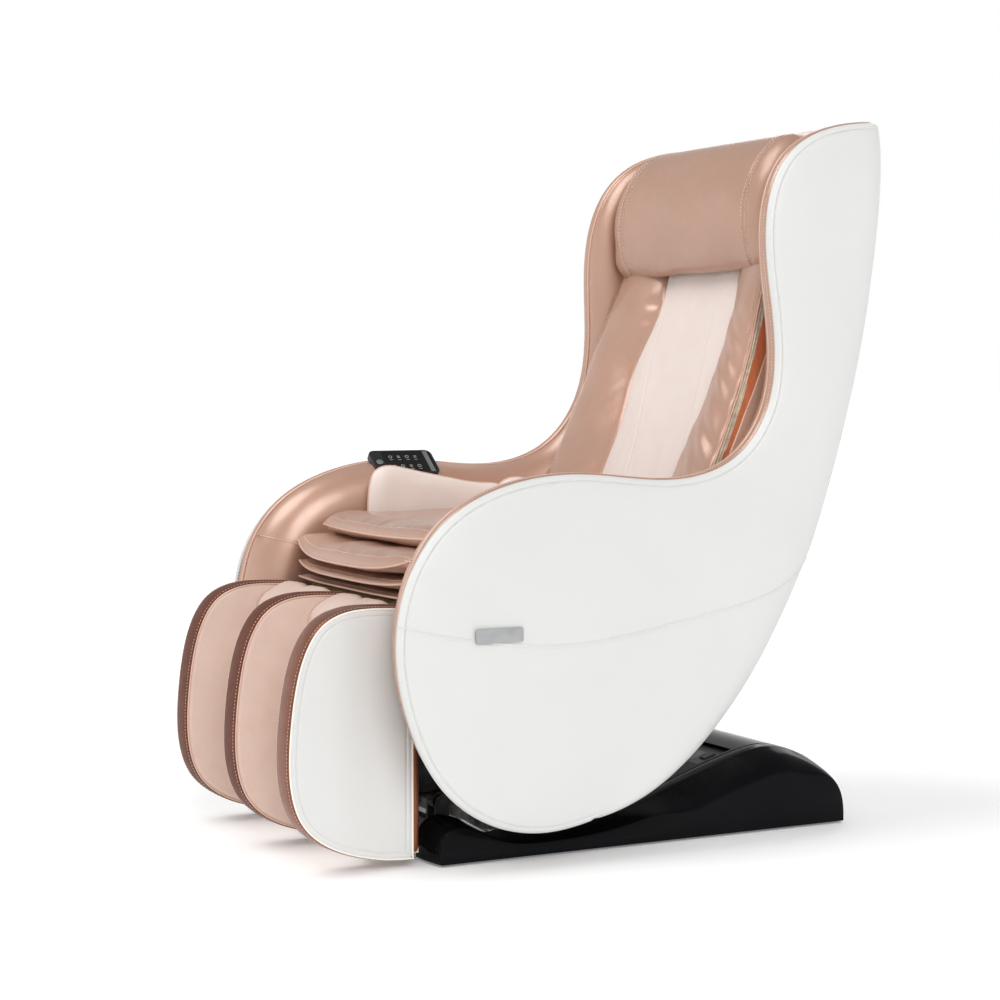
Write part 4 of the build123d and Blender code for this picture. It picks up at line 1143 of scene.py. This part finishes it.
def plate(place, a0, a1, b0, b1, low, high):
    """A thin oblong plate, in the coordinates of on_panel or on_deck."""
    ring = [(a0, b0), (a1, b0), (a1, b1), (a0, b1)]
    verts = [place(a, b, h) for h in (low, high) for a, b in ring]
    sides = [[i, (i + 1) % 4, 4 + (i + 1) % 4, 4 + i] for i in range(4)]
    return np.array(verts), [[3, 2, 1, 0], [4, 5, 6, 7]] + sides


def ring_icon(a, b, r):
    """A generic round key symbol: a ring."""
    path = [on_panel(a + r * cos(t), b + r * sin(t), PANEL_TOP - 0.2)
            for t in np.linspace(0, 2 * pi, 18, endpoint=False)]
    return tube(path, 0.35, closed=True, sides=6)


def bar_icon(a, b, long_side, short_side):
    w, h = short_side / 2, long_side / 2
    return plate(on_panel, a - w, a + w, b - h, b + h, PANEL_TOP - 0.6, PANEL_TOP - 0.05)


icons = []
for row in range(2):
    for column in range(4):
        a, b = -13 + 24 * row, -22 + 15.5 * column
        if (row + column) % 2:
            icons += [bar_icon(a - 1.6, b, 5.2, 0.9), bar_icon(a + 1.6, b, 5.2, 0.9)]
        else:
            icons.append(ring_icon(a, b, 3.0))
        icons.append(bar_icon(a + 7.5, b, 6.0, 0.6))
mesh_piece("panel_symbols", joined(*icons), panel_ink, flat=True)
mesh_piece("panel_bar", plate(on_panel, -27, 27, 42, 50, PANEL_TOP - 0.9, PANEL_TOP + 0.5),
           brushed_silver, flat=True)
label = [(-10, 31, -18, 14, -5.2, -4.6), (-7, 28, 8, 11, -4.7, -4.4),
         (-7, 20, -4, -2.5, -4.7, -4.4), (-7, 24, -10, -8.5, -4.7, -4.4)]
mesh_piece("panel_label", joined(*(plate(on_deck, *sizes) for sizes in label)), label_grey,
           "base", flat=True)

# ================================================================ camera, light and floor
camera_data = bpy.data.cameras.new("camera")
camera_data.lens = 79.13
camera_data.sensor_width = 36.0
camera = bpy.data.objects.new("camera", camera_data)
camera.location = (3.1324, -1.6586, 0.7193)
camera.rotation_euler = (radians(86.757), 0.0, radians(62.757))
scene.collection.objects.link(camera)
scene.camera = camera
scene.view_settings.view_transform = "Standard"


def light(name, kind, toward, power, place=(0, 0, 0), **looks):
    """A soft light; `toward` points from what it lights to the light."""
    data = bpy.data.lights.new(name, kind)
    data.energy = power
    for key, value in looks.items():
        setattr(data, key, value)
    lamp = bpy.data.objects.new(name, data)
    lamp.location = place
    lamp.rotation_euler = Vector(toward).to_track_quat("Z", "Y").to_euler()
    scene.collection.objects.link(lamp)


light("key_sun", "SUN", (0.80, -0.20, 0.62), 1.35, angle=radians(36))
light("fill_sun", "SUN", (-0.20, -0.50, 0.85), 1.35, angle=radians(40))
light("rear_light", "AREA", (-2.2, 2.6, 1.4), 14, (-2.2, 2.6, 2.0), shape="RECTANGLE", size=1.6,
      size_y=1.6)

# the sky is bright near the horizon and dimmer above
world = bpy.data.worlds.new("studio")
world.use_nodes = True
tree = world.node_tree
sky = tree.nodes.new("ShaderNodeTexCoord")
sky_height = tree.nodes.new("ShaderNodeSeparateXYZ")
fade = tree.nodes.new("ShaderNodeMapRange")
for key, value in (("From Min", 0.20), ("From Max", 0.50), ("To Min", 1.0), ("To Max", 0.36)):
    fade.inputs[key].default_value = value
tree.links.new(sky.outputs["Generated"], sky_height.inputs[0])
tree.links.new(sky_height.outputs["Z"], fade.inputs["Value"])
tree.links.new(fade.outputs["Result"], tree.nodes["Background"].inputs["Strength"])
tree.nodes["Background"].inputs["Color"].default_value = (1.0, 1.0, 1.0, 1.0)
scene.world = world

FLOOR = 60.0              # half the floor's side, in metres
floor_mesh = bpy.data.meshes.new("floor")
floor_mesh.from_pydata([(-FLOOR, -FLOOR, 0), (FLOOR, -FLOOR, 0), (FLOOR, FLOOR, 0),
                        (-FLOOR, FLOOR, 0)], [], [(0, 1, 2, 3)])
paint = Nodes("floor_paint")
floor_mesh.materials.append(paint.finish(
    paint.blend(paint.noise(3.0), 0.3, 0.7, (0.90, 0.90, 0.90, 1), (0.92, 0.92, 0.92, 1)), 0.8,
    Emission_Color=(1.0, 1.0, 1.0, 1.0), Emission_Strength=0.16))
floor = bpy.data.objects.new("floor", floor_mesh)
scene.collection.objects.link(floor)
